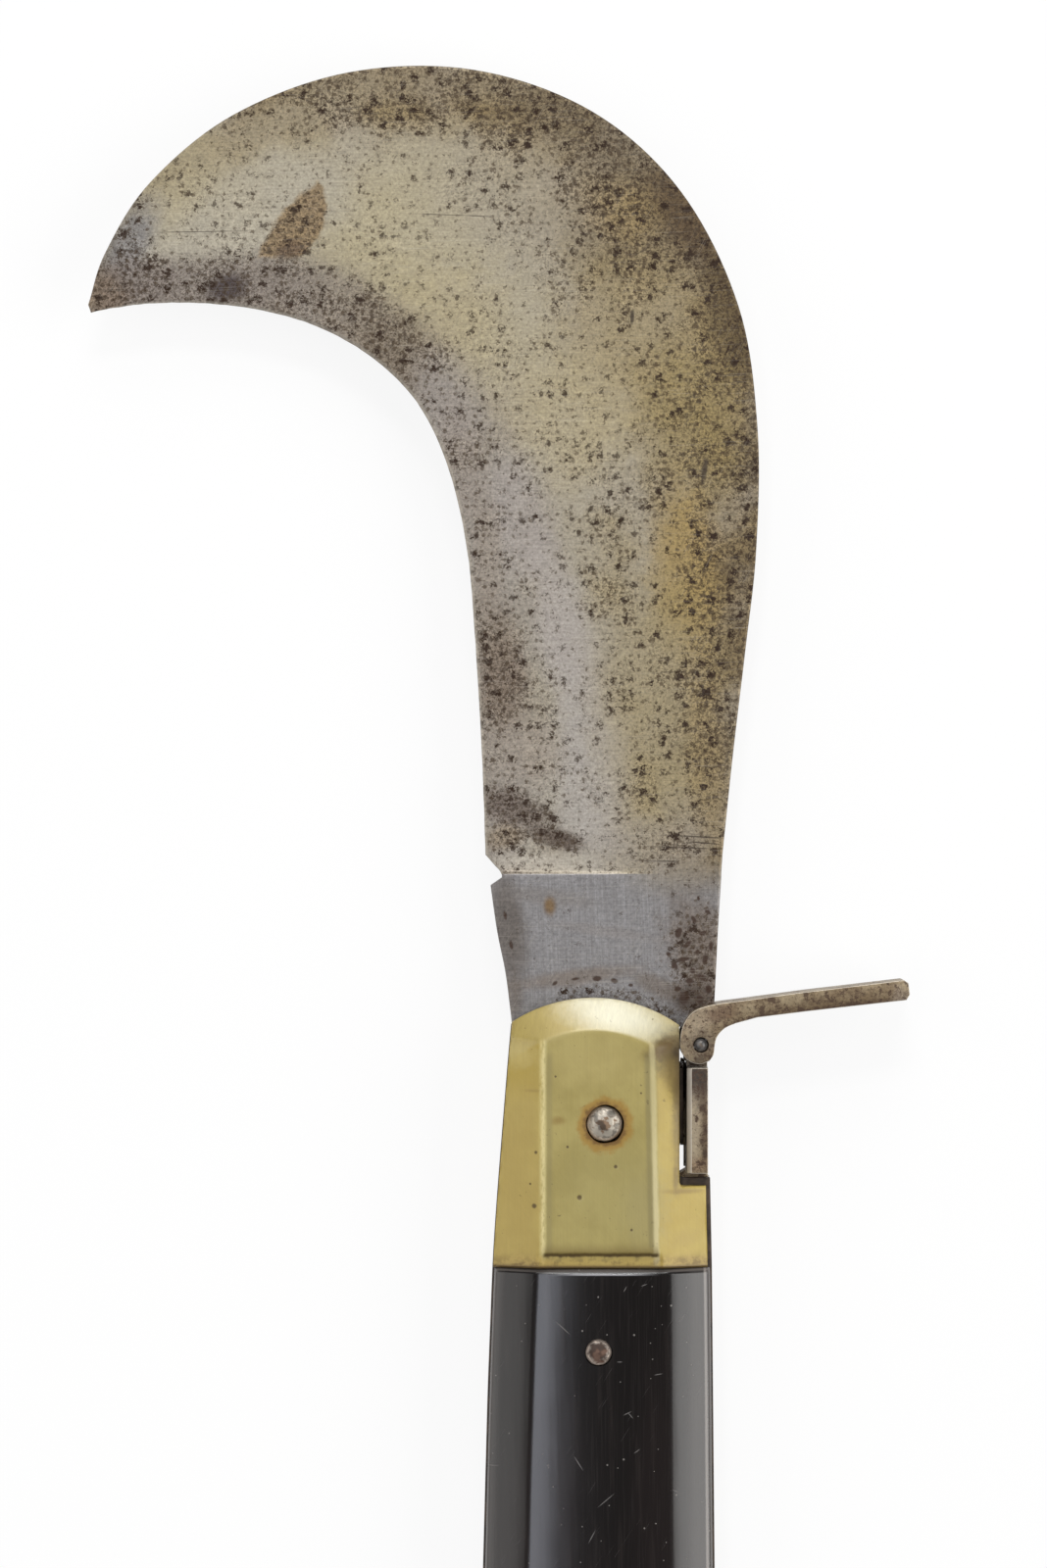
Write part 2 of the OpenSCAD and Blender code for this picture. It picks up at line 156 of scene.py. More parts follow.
# A colour that is written as it looks, 0 to 255, in the linear values that Blender wants
def tone(red, green, blue):
    def linear(part):
        part /= 255
        return part / 12.92 if part <= 0.04045 else ((part + 0.055) / 1.055) ** 2.4
    return (linear(red), linear(green), linear(blue), 1.0)


# What every material here starts from: the place on the piece in millimetres, and a colour that is
# laid on in coats
class Finish:
    def __init__(self, name):
        self.material = bpy.data.materials.new(name)
        self.material.use_nodes = True
        self.tree = self.material.node_tree
        self.shader = self.tree.nodes["Principled BSDF"]
        metres = self.source("ShaderNodeTexCoord", "Object")
        inputs = {0: metres, "Scale": 1 / mm}
        self.place = metres.add("ShaderNodeVectorMath", {"operation": "SCALE"}, inputs)
        self.x = self.place.part(0)
        self.y = self.place.part(1)

    # An output of a node that needs no inputs
    def source(self, kind, output):
        return Wire(self.tree, self.tree.nodes.new(kind).outputs[output])

    # A mesh's own attribute; out is 1 for a vector and 2 for a number
    def attribute(self, name, out):
        return self.place.add("ShaderNodeAttribute", {"attribute_name": name}, {}, out)

    # Noise with features of about the given size; shift moves it to a fresh part of the noise
    def noise(self, size, detail=2.0, rough=0.5, stretch=(1, 1, 1), turn=0.0, shift=0.0, warp=0.0):
        where = self.mapped((shift, -shift, shift / 2), [size * s for s in stretch], turn)
        inputs = {"Vector": where, "Scale": 1.0, "Detail": detail, "Roughness": rough, "Distortion": warp}
        return where.add("ShaderNodeTexNoise", {}, inputs)

    def mapped(self, centre, size, turn=0.0):
        turn = (0, 0, math.radians(turn))
        inputs = {"Vector": self.place, "Location": centre, "Rotation": turn, "Scale": size}
        return self.place.add("ShaderNodeMapping", {"vector_type": "TEXTURE"}, inputs)

    # Distance from a place, seen from above; with a size, 1 is the border of an oval of that size
    def reach(self, at, size=(1, 1), turn=0.0):
        c, s = math.cos(math.radians(turn)), math.sin(math.radians(turn))
        squares = 0.0
        for byX, byY in ((c / size[0], s / size[0]), (-s / size[1], c / size[1])):
            off = self.x.calc("MULTIPLY_ADD", self.y, byY, -at[0] * byX - at[1] * byY)
            off = self.x.calc("MULTIPLY_ADD", self.x, byX, off)
            squares = self.x.calc("MULTIPLY_ADD", off, off, squares)
        return self.x.calc("SQRT", squares)

    # Soft oval patch, 1 inside and 0 outside, with a ragged border
    def patch(self, at, size, turn=0.0, soft=0.4, ragged=None, amount=0.3):
        far = self.reach(at, size, turn)
        if ragged is not None:
            far = far + (ragged - 0.5) * (2 * amount)
        return far.rise(1 + soft, 1 - soft)

    # Points scattered about that far apart: how far the nearest one is, and a number of its own
    def dots(self, gap, shift=0.0, space="2D"):
        where = self.mapped((shift, -shift, 0), (gap, gap, gap))
        settings = {"voronoi_dimensions": space}
        far = where.add("ShaderNodeTexVoronoi", settings, {"Vector": where, "Scale": 1.0})
        return far, Wire(self.tree, far.socket.node.outputs["Color"]) * 1.0

    # Mixes two colours, each a tone or an output
    def blend(self, share, first, second):
        settings = {"data_type": "RGBA", "clamp_factor": True}
        first, second = (c if isinstance(c, Wire) else tone(*c) for c in (first, second))
        return self.place.add("ShaderNodeMix", settings, {0: share, 6: first, 7: second}, 2)

    # Lays a tone over the colour so far
    def coat(self, share, *hue):
        self.color = self.blend(share, self.color, hue)

    # Stains laid over it: x, y, half width, half height, turn, tone, strength
    def stain(self, stains, ragged, amount=0.35, soft=0.55):
        for x, y, wide, high, turn, hue, strength in stains:
            self.coat(self.patch((x, y), (wide, high), turn, soft, ragged, amount) * strength, *hue)

    def lighten(self, amount):
        self.color = self.place.add("ShaderNodeHueSaturation", {}, {"Value": amount, "Color": self.color})

    # 1 where the colour is dark, which is where a piece is pitted most, and 0 where it is light
    def darkness(self, light, dark):
        return self.place.add("ShaderNodeRGBToBW", {}, {0: self.color}).rise(light, dark)

    # Dark flecks of a size in mm, more of them where crowd is near 1
    def flecks(self, size, bar, crowd, shift, thick):
        grain = self.noise(size, 3, 0.65, shift=shift, warp=0.5)
        return (grain + crowd * 0.1).rise(bar, bar + thick)

    # Pits that gather round scattered points: spacing of the points and size of the flecks in mm
    def pitting(self, gap, size, bar, crowd, shift, space="2D"):
        far, own = self.dots(gap, shift, space)
        near = far.rise(0.52, 0.02) * own.rise(0.3, 0.62)
        grain = self.noise(size, 5, 0.8, shift=shift, warp=0.2)
        return (grain + near * 0.16 + crowd * 0.085).rise(bar, bar + 0.05)

    # Fine lines along one direction, light or dark
    def scratches(self, width, length, turn, bar, shift):
        return self.noise(1.0, 1, 0.5, (length, width, 1), turn, shift).rise(bar, bar + 0.05)

    # 1 on faces that lie flat, 0 on upright ones
    def flatness(self):
        return abs(self.source("ShaderNodeTexCoord", "Normal").part(2))

    # 1 on the rounded edges round a flat top, where a painted highlight goes
    def edges(self, top, steep):
        lean = self.flatness()
        return lean.rise(top, steep) * lean.rise(0.15, 0.4)

    def plain(self, values):
        for key, value in values.items():
            self.shader.inputs[key].default_value = value

    # Plugs in the colour, the roughness and a relief
    def finish(self, form, rough, height):
        self.plain(form["shader"])
        inputs = {"Height": height, "Strength": 1.0, "Distance": form["relief"] * mm}
        relief = self.place.add("ShaderNodeBump", {}, inputs)
        for key, wire in (("Base Color", self.color), ("Roughness", rough), ("Normal", relief)):
            self.tree.links.new(wire.socket, self.shader.inputs[key])
        return self.material


# Camera, floor and light
cameraPlace = {"x": -10.25, "y": 43.0, "height": 750.0, "lens": 135.0}


def placeCamera():
    data = bpy.data.cameras.new("camera")
    data.lens = cameraPlace["lens"]
    data.sensor_width = 36.0
    data.clip_start = 0.01
    data.clip_end = 100
    camera = linked("camera", data)
    camera.location = [cameraPlace["x"] * mm, cameraPlace["y"] * mm, (cameraPlace["height"] + midZ) * mm]
    scene.camera = camera


# Soft boxes: side they stand on, height of their middle above the horizon, size in metres,
# brightness of their face and its colour
softBoxes = {
    "leftBox": (180, 34, (1.5, 1.0), 1.6, (1, 0.98, 0.96)),
    "rightBox": (0, 36, (1.5, 1.0), 3.6, (1, 0.99, 0.97)),
    "topBox": (90, 27, (1.0, 0.6), 3.6, (1, 0.99, 0.97)),
    "endBox": (90, 48, (0.5, 0.22), 19, (1, 0.99, 0.98)),
    "skyStrip": (180, 77.5, (1.6, 0.17), 4.8, (0.87, 0.9, 1)),
}
boxDistance = 1500
skyLevel = 0.15


def placeLights():
    for name, (side, rise, size, bright, hue) in softBoxes.items():
        data = bpy.data.lights.new(name, "AREA")
        data.shape = "RECTANGLE"
        data.size, data.size_y = size
        data.energy = bright * math.pi * data.size * data.size_y
        data.color = hue
        lamp = linked(name, data)
        side, rise = math.radians(side), math.radians(rise)
        way = Vector((math.cos(side) * math.cos(rise), math.sin(side) * math.cos(rise), math.sin(rise)))
        lamp.location = way * boxDistance * mm
        across = Vector((-math.sin(side), math.cos(side), 0))
        upright = across.cross(-way)
        lamp.rotation_euler = Matrix((across, upright, way)).transposed().to_euler()
        lamp.visible_camera = False
    world = bpy.data.worlds.new("studio")
    world.use_nodes = True
    sky = world.node_tree.nodes["Background"]
    sky.inputs["Color"].default_value = (1, 1, 1, 1)
    sky.inputs["Strength"].default_value = skyLevel
    scene.world = world


# The floor is lit, and glows for the camera as well, so that it is white and still shows shadows
floorForm = {"reach": 20000, "drop": 0.2, "grey": 0.86, "glow": 0.88}


def placeFloor(form):
    mesh = bpy.data.meshes.new("floor")
    corners = np.array([(-1, -1), (1, -1), (1, 1), (-1, 1)]) * form["reach"]
    mesh.from_pydata([(x * mm, y * mm, -form["drop"] * mm) for x, y in corners], [], [(0, 1, 2, 3)])
    floor = linked("floor", mesh)
    look = Finish("paleFloor")
    look.plain({"Base Color": [form["grey"]] * 3 + [1], "Roughness": 0.9, "Specular IOR Level": 0.0})
    kinds = ("Is Camera Ray", "Is Glossy Ray", "Is Transmission Ray")
    seen = strongest(look.source("ShaderNodeLightPath", kind) for kind in kinds)
    glow = seen.add("ShaderNodeEmission", {}, {"Color": (1, 1, 1, 1), "Strength": 1.0})
    lit = Wire(look.tree, look.shader.outputs[0])
    mixed = seen.add("ShaderNodeMixShader", {}, {0: seen * form["glow"], 1: lit, 2: glow})
    look.tree.links.new(mixed.socket, look.tree.nodes["Material Output"].inputs["Surface"])
    mesh.materials.append(look.material)


# Mesh making: a mesh's shape with its doubles merged
def merged(mesh, apart=2e-6):
    shape = bmesh.new()
    shape.from_mesh(mesh)
    bmesh.ops.remove_doubles(shape, verts=shape.verts, dist=apart)
    return shape


def newPiece(name, points, faces, sharp=35):
    mesh = bpy.data.meshes.new(name)
    mesh.from_pydata((np.array(points, float) * mm).tolist(), [], faces)
    shape = merged(mesh, 1e-7)
    bmesh.ops.recalc_face_normals(shape, faces=shape.faces)
    shape.to_mesh(mesh)
    shape.free()
    return shaded(linked(name, mesh), sharp)


def shaded(piece, sharp=35):
    piece.data.shade_smooth()
    piece.data.set_sharp_from_angle(angle=math.radians(sharp))
    return piece


# Makes what the modifiers show the piece's own mesh
def settle(piece, sharp=35):
    graph = bpy.context.evaluated_depsgraph_get()
    mesh = bpy.data.meshes.new_from_object(piece.evaluated_get(graph))
    piece.modifiers.clear()
    piece.data = mesh
    return shaded(piece, sharp)


def carve(piece, other, operation="DIFFERENCE", sharp=35):
    step = piece.modifiers.new("carve", "BOOLEAN")
    step.operation = operation
    step.solver = "EXACT"
    step.object = other
    settle(piece, sharp)
    bpy.data.objects.remove(other)
    return piece


# Skin over rings of equal length: quads between them and one face over each end
def skin(name, rings, sharp=35):
    count, span = len(rings), len(rings[0])
    faces = [tuple(range(span)), tuple((count - 1) * span + k for k in reversed(range(span)))]
    for i in range(count - 1):
        for k in range(span):
            after = (k + 1) % span
            faces.append((i * span + k, (i + 1) * span + k, (i + 1) * span + after, i * span + after))
    return newPiece(name, np.concatenate(rings), faces, sharp)


# Round peg; ragged makes it a little uneven
def newPeg(name, at, radius, low, high, sides=48, ragged=0.0):
    turn = np.arange(sides) * 2 * math.pi / sides
    bumps = [noise.noise(Vector((math.cos(a) * 1.6, math.sin(a) * 1.6, at[0] + at[1]))) for a in turn]
    reach = radius + ragged * np.array(bumps)
    flat = np.column_stack([at[0] + reach * np.cos(turn), at[1] + reach * np.sin(turn)])
    return skin(name, [np.column_stack([flat, np.full(sides, z)]) for z in (low, high)])


# From 0 to 1 without corners
def smooth(share):
    return share ** 2 * (3 - 2 * share)


# How far a rounded edge lies below its face, at some distance from the border
def rounding(curl, off):
    return curl - np.sqrt(curl ** 2 - np.maximum(0, curl - off) ** 2)


def bell(cells, reach):
    kernel = np.exp(-0.5 * (np.arange(-reach, reach + 1) / cells) ** 2)
    return kernel / kernel.sum()


# Smooth curve through rows of numbers, with some steps a span
def through(rows, steps):
    rows = np.array(rows, float)
    ends = np.vstack([2 * rows[0] - rows[1], rows, 2 * rows[-1] - rows[-2]])
    found = []
    for a, b, c, d in zip(ends, ends[1:], ends[2:], ends[3:]):
        for t in np.arange(steps) / steps:
            found.append(0.5 * (2 * b + (c - a) * t + (2 * a - 5 * b + 4 * c - d) * t ** 2
                                + (3 * b - a - 3 * c + d) * t ** 3))
    return np.array(found + [rows[-1]])


# The blade: rows from the cutting edge to the back, ground thin above the plunge line
bladeForm = {
    "plunge": 31.4, "wall": 0.6, "step": 0.4, "farStep": 0.04, "runOut": 10, "half": 1.45, "edge": 0.08,
    "shoulder": 0.3, "bevel": 0.45, "taper": 0.45, "round": 0.4, "columns": 22, "steps": 10,
    "waviness": 0.012, "nicks": 0.12, "hole": 2.05, "drill": 4, "tang": 10.1, "sharp": 24,
    # where the columns lie, in bevels from the edge and in rounds from the back
    "nearEdge": [0, 0.2, 0.5, 0.8, 1.0, 1.25], "nearBack": [1.6, 1.0, 0.62, 0.3, 0.1, 0],
    # how round the back is where it is ground and where it isn't, and where one turns into the other
    "groundRound": 0.7, "flatRound": 0.6, "fade": (0.45, 0.85),
    # edge and back at matching places, heights counted from the plunge line
    "stations": [
        (-15.1, 2.6, 15.1, 2.8), (-15.55, 15.1, 16.45, 15.6), (-16.3, 28.1, 18.0, 28.6),
        (-17.4, 41.1, 19.4, 41.6), (-19.75, 51.6, 19.55, 57.1), (-23.4, 59.6, 17.1, 72.6),
        (-28.8, 65.4, 9.8, 87.1), (-36, 69.7, -1.5, 97.3), (-43.6, 72.0, -16.5, 102.6),
        (-51, 72.9, -32.5, 102.3), (-57.5, 72.9, -47.2, 96.9), (-61.8, 72.4, -57.8, 88.3),
        (-64.2, 72.0, -63.5, 79.4), (-65.4, 71.7, -65.7, 72.7),
    ],
    # front and back of the tang from its round end up, with the step for the lock, then the ricasso
    "tangRows": [
        (-10.1, -1, 10.05, -1), (-11.3, 2.1, 10.1, 1.0), (-11.44, 7.6, 10.1, 7.58),
        (-11.45, 7.7, 9.53, 7.62), (-11.74, 12.5, 9.53, 12.1), (-11.75, 12.6, 13.9, 12.16),
    ],
    "ricasso": [
        (-11.85, 13.6, 13.98, 14.0), (-12.55, 19, 14.25, 19), (-13.6, 24.2, 14.5, 24.2),
        (-14.45, 30.1, 14.88, 30.3),
    ],
    "notch": (-13.0, 31.1, 14.93, 31.1),
    # how far edge and back move over the wall of the plunge, and where the bevel starts above it
    "wallMoves": (-0.3, 0.02), "start": (-0.95, 1.2, 0.07, 1.3),
}


# Cross-section from the edge to the back; ground says how deep it is ground at each of the two
def bladeRow(form, row, ground, share):
    edge, back = np.array(row[:2], float), np.array(row[2:], float)
    wide = np.linalg.norm(back - edge)
    way = (back - edge) / wide
    thinner = 1 - form["taper"] * share
    bevel = min(form["bevel"], 0.3 * wide)
    curl = min(form["round"], 0.15 * wide)
    near = bevel * np.array(form["nearEdge"])
    far = wide - curl * np.array(form["nearBack"])
    along = np.concatenate([near, np.linspace(near[-1], far[0], form["columns"] + 2)[1:-1], far])
    thick = [form["edge"], form["shoulder"] * thinner, form["half"] * thinner]
    wedge = np.interp(along, [0, bevel, wide], thick)
    thin = wedge - form["groundRound"] * rounding(curl, wide - along)
    slab = form["half"] * thinner - form["flatRound"] * rounding(curl, np.minimum(along, wide - along))
    deep = ground[0] + (ground[1] - ground[0]) * smooth(np.interp(along / wide, form["fade"], (0, 1)))
    half = slab + (np.minimum(thin, slab) - slab) * deep
    top = np.column_stack([edge + way * along[:, None], half])
    return np.vstack([top, np.flipud(top) * [1, 1, -1]])


def bladeRows(form):
    plunge, steps = form["plunge"], np.array([form["step"], form["farStep"]])
    outline = []
    for turn in range(82, 6, -8):
        c, s = form["tang"] * math.cos(math.radians(turn)), form["tang"] * math.sin(math.radians(turn))
        outline.append((-c, -s, c, -s))
    low = np.array(form["tangRows"], float)
    for a, b in zip(low, low[1:]):
        count = max(1, round((b[1] - a[1]) / 1.5))
        outline += [a + (b - a) * k / count for k in range(count)]
    outline += [low[-1], *through(form["ricasso"], 5), form["notch"]]
    rows = [bladeRow(form, row, (0, 0), 0) for row in outline]
    front, _, back, _ = form["notch"]
    moveEdge, moveBack = form["wallMoves"]
    for lift in np.linspace(0, 1, 6):
        high = plunge + form["wall"] * lift
        row = (front + moveEdge * lift, high, back + moveBack * lift, high)
        rows.append(bladeRow(form, row, steps * smooth(lift), 0))
    # the grinding gets deeper above the step
    track = through([(a, b + plunge, c, d + plunge) for a, b, c, d in form["stations"]], form["steps"])
    track = np.vstack([np.add((front, plunge, back, plunge), form["start"]), track])
    for i, row in enumerate(track):
        deep = math.sin(min(1, (row[1] - plunge) / form["runOut"]) * math.pi / 2)
        rows.append(bladeRow(form, row, steps + (1 - steps) * deep, i / len(track)))
    return rows


def makeBlade(form):
    rings = []
    for ring in bladeRows(form):
        for p in ring:
            gentle = noise.noise(Vector((p[0] * 0.12, p[1] * 0.12, p[2] * 2)))
            p[2] += form["waviness"] * gentle * (1 if p[2] > 0 else -1)
        if ring[0][1] > form["plunge"] + 1:
            # a nick moves both points of the edge in, and the next ones half as far
            nick = noise.noise(Vector((ring[0][0] * 0.9, ring[0][1] * 0.9, 7)))
            way = ring[4][:2] - ring[0][:2]
            way /= np.linalg.norm(way)
            for k, share in ((0, 1), (-1, 1), (1, 0.5), (-2, 0.5)):
                ring[k][:2] += way * form["nicks"] * max(0, nick) * share
        rings.append(ring + [0, 0, midZ])
    blade = skin("hookedBlade", rings)
    drill = newPeg("drill", (0, 0), form["hole"], midZ - form["drill"], midZ + form["drill"])
    carve(blade, drill, sharp=form["sharp"])
    return bladeMap(blade, rings)


# Keeps how far each point is from the edge to the back, 0 to 1, and along the blade, 0 to 1
def bladeMap(blade, rings):
    ends = np.array([[ring[0][:2], ring[len(ring) // 2][:2]] for ring in rings])
    way = ends[:, 1] - ends[:, 0]
    length = (way ** 2).sum(1)
    spots = []
    for v in blade.data.vertices:
        p = np.array(v.co[:2]) / mm - ends[:, 0]
        share = np.clip((p * way).sum(1) / length, 0, 1)
        off = np.linalg.norm(p - way * share[:, None], axis=1)
        k = int(off.argmin())
        spots.append((share[k], k / (len(rings) - 1), 0))
    kept = blade.data.attributes.new("bladeSpot", "FLOAT_VECTOR", "POINT")
    kept.data.foreach_set("vector", np.array(spots, np.float32).ravel())
    return blade


# Outline of a CAD piece in the plane at that height, as points in order round it
def outlineAt(node, height):
    shape = merged(nodes[node].data)
    flat = {f for f in shape.faces if all(abs(v.co.z - height * mm) < 2e-6 for v in f.verts)}
    nearby = {}
    for edge in shape.edges:
        if sum(f in flat for f in edge.link_faces) == 1:
            for v in edge.verts:
                nearby.setdefault(v, []).append(edge.other_vert(v))
    loops, left = [], dict.fromkeys(nearby)
    while left:
        start = next(iter(left))
        loop, before, now = [], start, start
        while now in left:
            loop.append((now.co.x / mm, now.co.y / mm))
            del left[now]
            steps = [v for v in nearby[now] if v is not before]
            before, now = now, steps[0]
        loops.append(np.array(loop))
    shape.free()
    return max(loops, key=lambda loop: np.ptp(loop[:, 1]))


# Rays from outside to a CAD piece: what they hit, and the height of that above the middle plane
def rayTree(node):
    return BVHTree.FromObject(nodes[node], bpy.context.evaluated_depsgraph_get())


def heightAt(tree, side, x, y):
    hit = tree.ray_cast(Vector((x, y, midZ + side * 30)) * mm, Vector((0, 0, -side)))[0]
    return np.nan if hit is None else side * (hit.z / mm - midZ)


# Height of a CAD piece's inner face above the middle plane
def baseOf(node, side):
    low, high = boxOf(node)
    return side * ((low.z if side > 0 else high.z) - midZ)


# Fills the cells that no ray reached from their neighbours
def spread(field):
    while np.isnan(field).any():
        padded = np.pad(field, 1, constant_values=np.nan)
        around = np.array([padded[1 + a:padded.shape[0] - 1 + a, 1 + b:padded.shape[1] - 1 + b]
                           for a in (-1, 0, 1) for b in (-1, 0, 1)])
        known = ~np.isnan(around)
        mean = np.where(known, around, 0).sum(0) / np.maximum(known.sum(0), 1)
        field = np.where(np.isnan(field) & known.any(0), mean, field)
    return field


def blurred(field, cells):
    reach = int(3 * cells) + 1
    for axis in (0, 1):
        field = np.pad(field, [(reach, reach) if a == axis else (0, 0) for a in (0, 1)], mode="edge")
        field = np.apply_along_axis(np.convolve, axis, field, bell(cells, reach), "valid")
    return field


# Distance of each point from a closed outline
def distanceTo(outline, points):
    best = np.full(len(points), np.inf)
    for a, b in zip(outline, np.roll(outline, -1, axis=0)):
        way = b - a
        share = np.clip(((points - a) @ way) / max(way @ way, 1e-12), 0, 1)
        best = np.minimum(best, np.linalg.norm(points - a - share[:, None] * way, axis=1))
    return best


# Middle and radius of the round thing that a CAD node is, seen from above
def roundOf(node):
    low, high = boxOf(node)
    return (low.x + high.x) / 2, (low.y + high.y) / 2, (high.y - low.y) / 2


# The two places of a node that holds a pair of pins side by side
def pairOf(node):
    low, high = boxOf(node)
    _, y, radius = roundOf(node)
    return [(x, y, radius) for x in (low.x + radius, high.x - radius)]


# Block with a grid of heights on top, and walls down to a flat bottom
def reliefBlock(name, gridX, gridY, heights, bottom):
    top = np.column_stack([gridX.ravel(), gridY.ravel(), heights.ravel()])
    cells = np.arange(len(top)).reshape(heights.shape)
    faces = np.stack([cells[:-1, :-1], cells[:-1, 1:], cells[1:, 1:], cells[1:, :-1]], -1)
    faces = faces.reshape(-1, 4).tolist()
    border = np.concatenate([cells[0], cells[1:, -1], cells[-1, -2::-1], cells[-2:0:-1, 0]])
    foot = np.arange(len(border)) + len(top)
    faces += np.column_stack([border, np.roll(border, -1), np.roll(foot, -1), foot]).tolist()
    faces.append(foot.tolist())
    under = top[border]
    under[:, 2] = bottom
    return newPiece(name, np.vstack([top, under]), faces)


# Bolsters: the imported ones' own relief, with creases and rims worn soft
bolsterForm = {
    "pitch": 0.22, "soft": 0.3, "rim": 0.3, "ripple": 0.012, "gap": 0.13, "ragged": 0.12,
    "worn": (0.09, -0.04), "clear": 0.6, "least": 0.3, "below": 1, "above": 12, "pinGap": 0.02,
    "groove": {"y": -16.62, "x": (-7.4, 6.1), "deep": 0.16, "wide": 0.13},
    "pits": [
        (1.4, -5.4, 0.24), (-3.1, -9.3, 0.3), (-5.2, -10.6, 0.16), (4.0, 2.6, 0.14), (-6.5, 3.1, 0.15),
        (3.2, -13.6, 0.17), (-1.0, 9.2, 0.12), (-9.8, -8.0, 0.16), (8.4, -12.5, 0.15),
    ],
}


def makeBolster(form, node, name, side, heads, pins):
    low, high = boxOf(node)
    base, pitch = baseOf(node, side), form["pitch"]
    xs, ys = (np.arange(low[k] - 2 * pitch, high[k] + 2.5 * pitch, pitch) for k in (0, 1))
    gridX, gridY = np.meshgrid(xs, ys)
    tree = rayTree(node)
    field = np.array([[heightAt(tree, side, x, y) for x in xs] for y in ys])
    for x, y, radius in heads:
        field[np.hypot(gridX - x, gridY - y) < radius + form["clear"]] = np.nan
    field = blurred(spread(field), form["soft"] / pitch)
    outline = outlineAt(node, midZ + side * base)
    spots = np.column_stack([gridX.ravel(), gridY.ravel()])
    field -= rounding(form["rim"], distanceTo(outline, spots).reshape(field.shape))
    for x, y, size in form["pits"]:
        field -= 0.5 * size * np.exp(-((gridX - x) ** 2 + (gridY - y) ** 2) / (0.5 * size ** 2))
    line = form["groove"]
    along = (gridX > line["x"][0]) & (gridX < line["x"][1])
    field -= along * line["deep"] * np.exp(-((gridY - line["y"]) / line["wide"]) ** 2)
    bumps = [noise.noise(Vector((x * 0.4, y * 0.4, side * 5))) for x, y in spots]
    field += form["ripple"] * (np.array(bumps).reshape(field.shape) - 1)
    field = np.maximum(field, base + form["least"])
    bottom, top = (midZ + side * (base + h) for h in (-form["below"], form["above"]))
    cover = reliefBlock(name, gridX, gridY, midZ + side * field, bottom)
    walls = [np.column_stack([outline, np.full(len(outline), z)]) for z in (midZ + side * base, top)]
    carve(cover, skin("prism", walls), "INTERSECT")
    for x, y, radius in heads:
        spot = (x + form["worn"][0], y + form["worn"][1])
        carve(cover, newPeg("hole", spot, radius + form["gap"], bottom, top, ragged=form["ragged"]))
    gap = form["pinGap"]
    deep = boxOf(node.replace("bolster", "bolster_pins"))
    for x, y, radius in pins:
        carve(cover, newPeg("pinHole", (x, y), radius + gap, deep[0].z - gap, deep[1].z + gap))
    return cover


# Horn scales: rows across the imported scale, with columns close together where the horn turns
scaleForm = {
    "facet": 4.7, "row": 1.5, "curl": 0.5, "jointCurl": 0.8, "wider": 0.6, "gap": 0.04, "ragged": 0.05,
    "ripple": 0.01, "crown": 16, "cell": 0.15, "soft": (0.2, 0.55), "full": 0.035, "rim": 3.6,
    "clear": 0.3, "least": 0.25, "inside": 0.03, "sharp": 40,
    # where the columns and rows lie: from the rim, from the crease of a facet, and from either end
    "fromRim": [0.0, 0.05, 0.16, 0.32, 0.55, 1.1, 2.0, 3.0, 3.8],
    "fromCrease": [-0.42, -0.14, 0.14, 0.42],
    "nearEnd": [0.0, 0.05, 0.14, 0.27, 0.42, 0.6, 0.8, 1.2, 2.0, 3.0],
}


# Blurs a line of heights; its ends keep their slope
def eased(line, cells):
    reach = int(3 * cells)
    longer = np.pad(line, reach, mode="reflect", reflect_type="odd")
    return np.convolve(longer, bell(cells, reach), "valid")


def scaleRow(form, tree, side, base, y, front, back, topY, heads):
    wide, inside = back - front, form["inside"]
    facet = min(form["facet"], 0.3 * wide)
    squeeze = facet / form["facet"]
    worn = facet + form["wider"] * squeeze
    rim = [d * squeeze for d in form["fromRim"]] + [worn + d * squeeze for d in form["fromCrease"]]
    crown = np.linspace(rim[-1], wide - rim[-1], form["crown"])[1:-1]
    columns = np.array(rim + list(crown) + [wide - d for d in reversed(rim)])
    fine = np.arange(inside, wide - 0.02, form["cell"])
    level = np.clip(y, topY[0] + inside, topY[1] - inside)
    # no heights are read under the rivets' heads
    fromHead = np.array([min(math.hypot(front + d - a, y - b) - r for a, b, r in heads) for d in fine])
    known = fine[fromHead >= form["clear"]]
    read = np.array([heightAt(tree, side, front + d, level) for d in known])
    heights = np.interp(fine, known[~np.isnan(read)], read[~np.isnan(read)])
    # the facets are widened
    source = np.interp(fine, [0, worn, wide - worn, wide], [0, facet, wide - facet, wide])
    heights = np.interp(source, fine, heights)
    atFront, atBack = (eased(heights, soft / form["cell"]) for soft in form["soft"])
    heights = np.interp(columns, fine, atFront + (atBack - atFront) * fine / wide)
    rimward = np.minimum(columns, wide - columns)
    inFacet = np.clip(rimward / worn, 0, 1)
    heights += form["full"] * squeeze * 4 * inFacet * (1 - inFacet)
    bumps = np.array([noise.noise(Vector(((front + d) * 0.3, y * 0.3, side * 9))) for d in columns])
    drop = rounding(form["curl"], rimward) + rounding(form["jointCurl"], topY[1] - y)
    heights = np.maximum(base + form["least"], heights - drop + form["ripple"] * bumps)
    rise = [(front, base), *zip(front + columns, heights), (back, base)]
    return [(x, y, midZ + side * h) for x, h in rise]


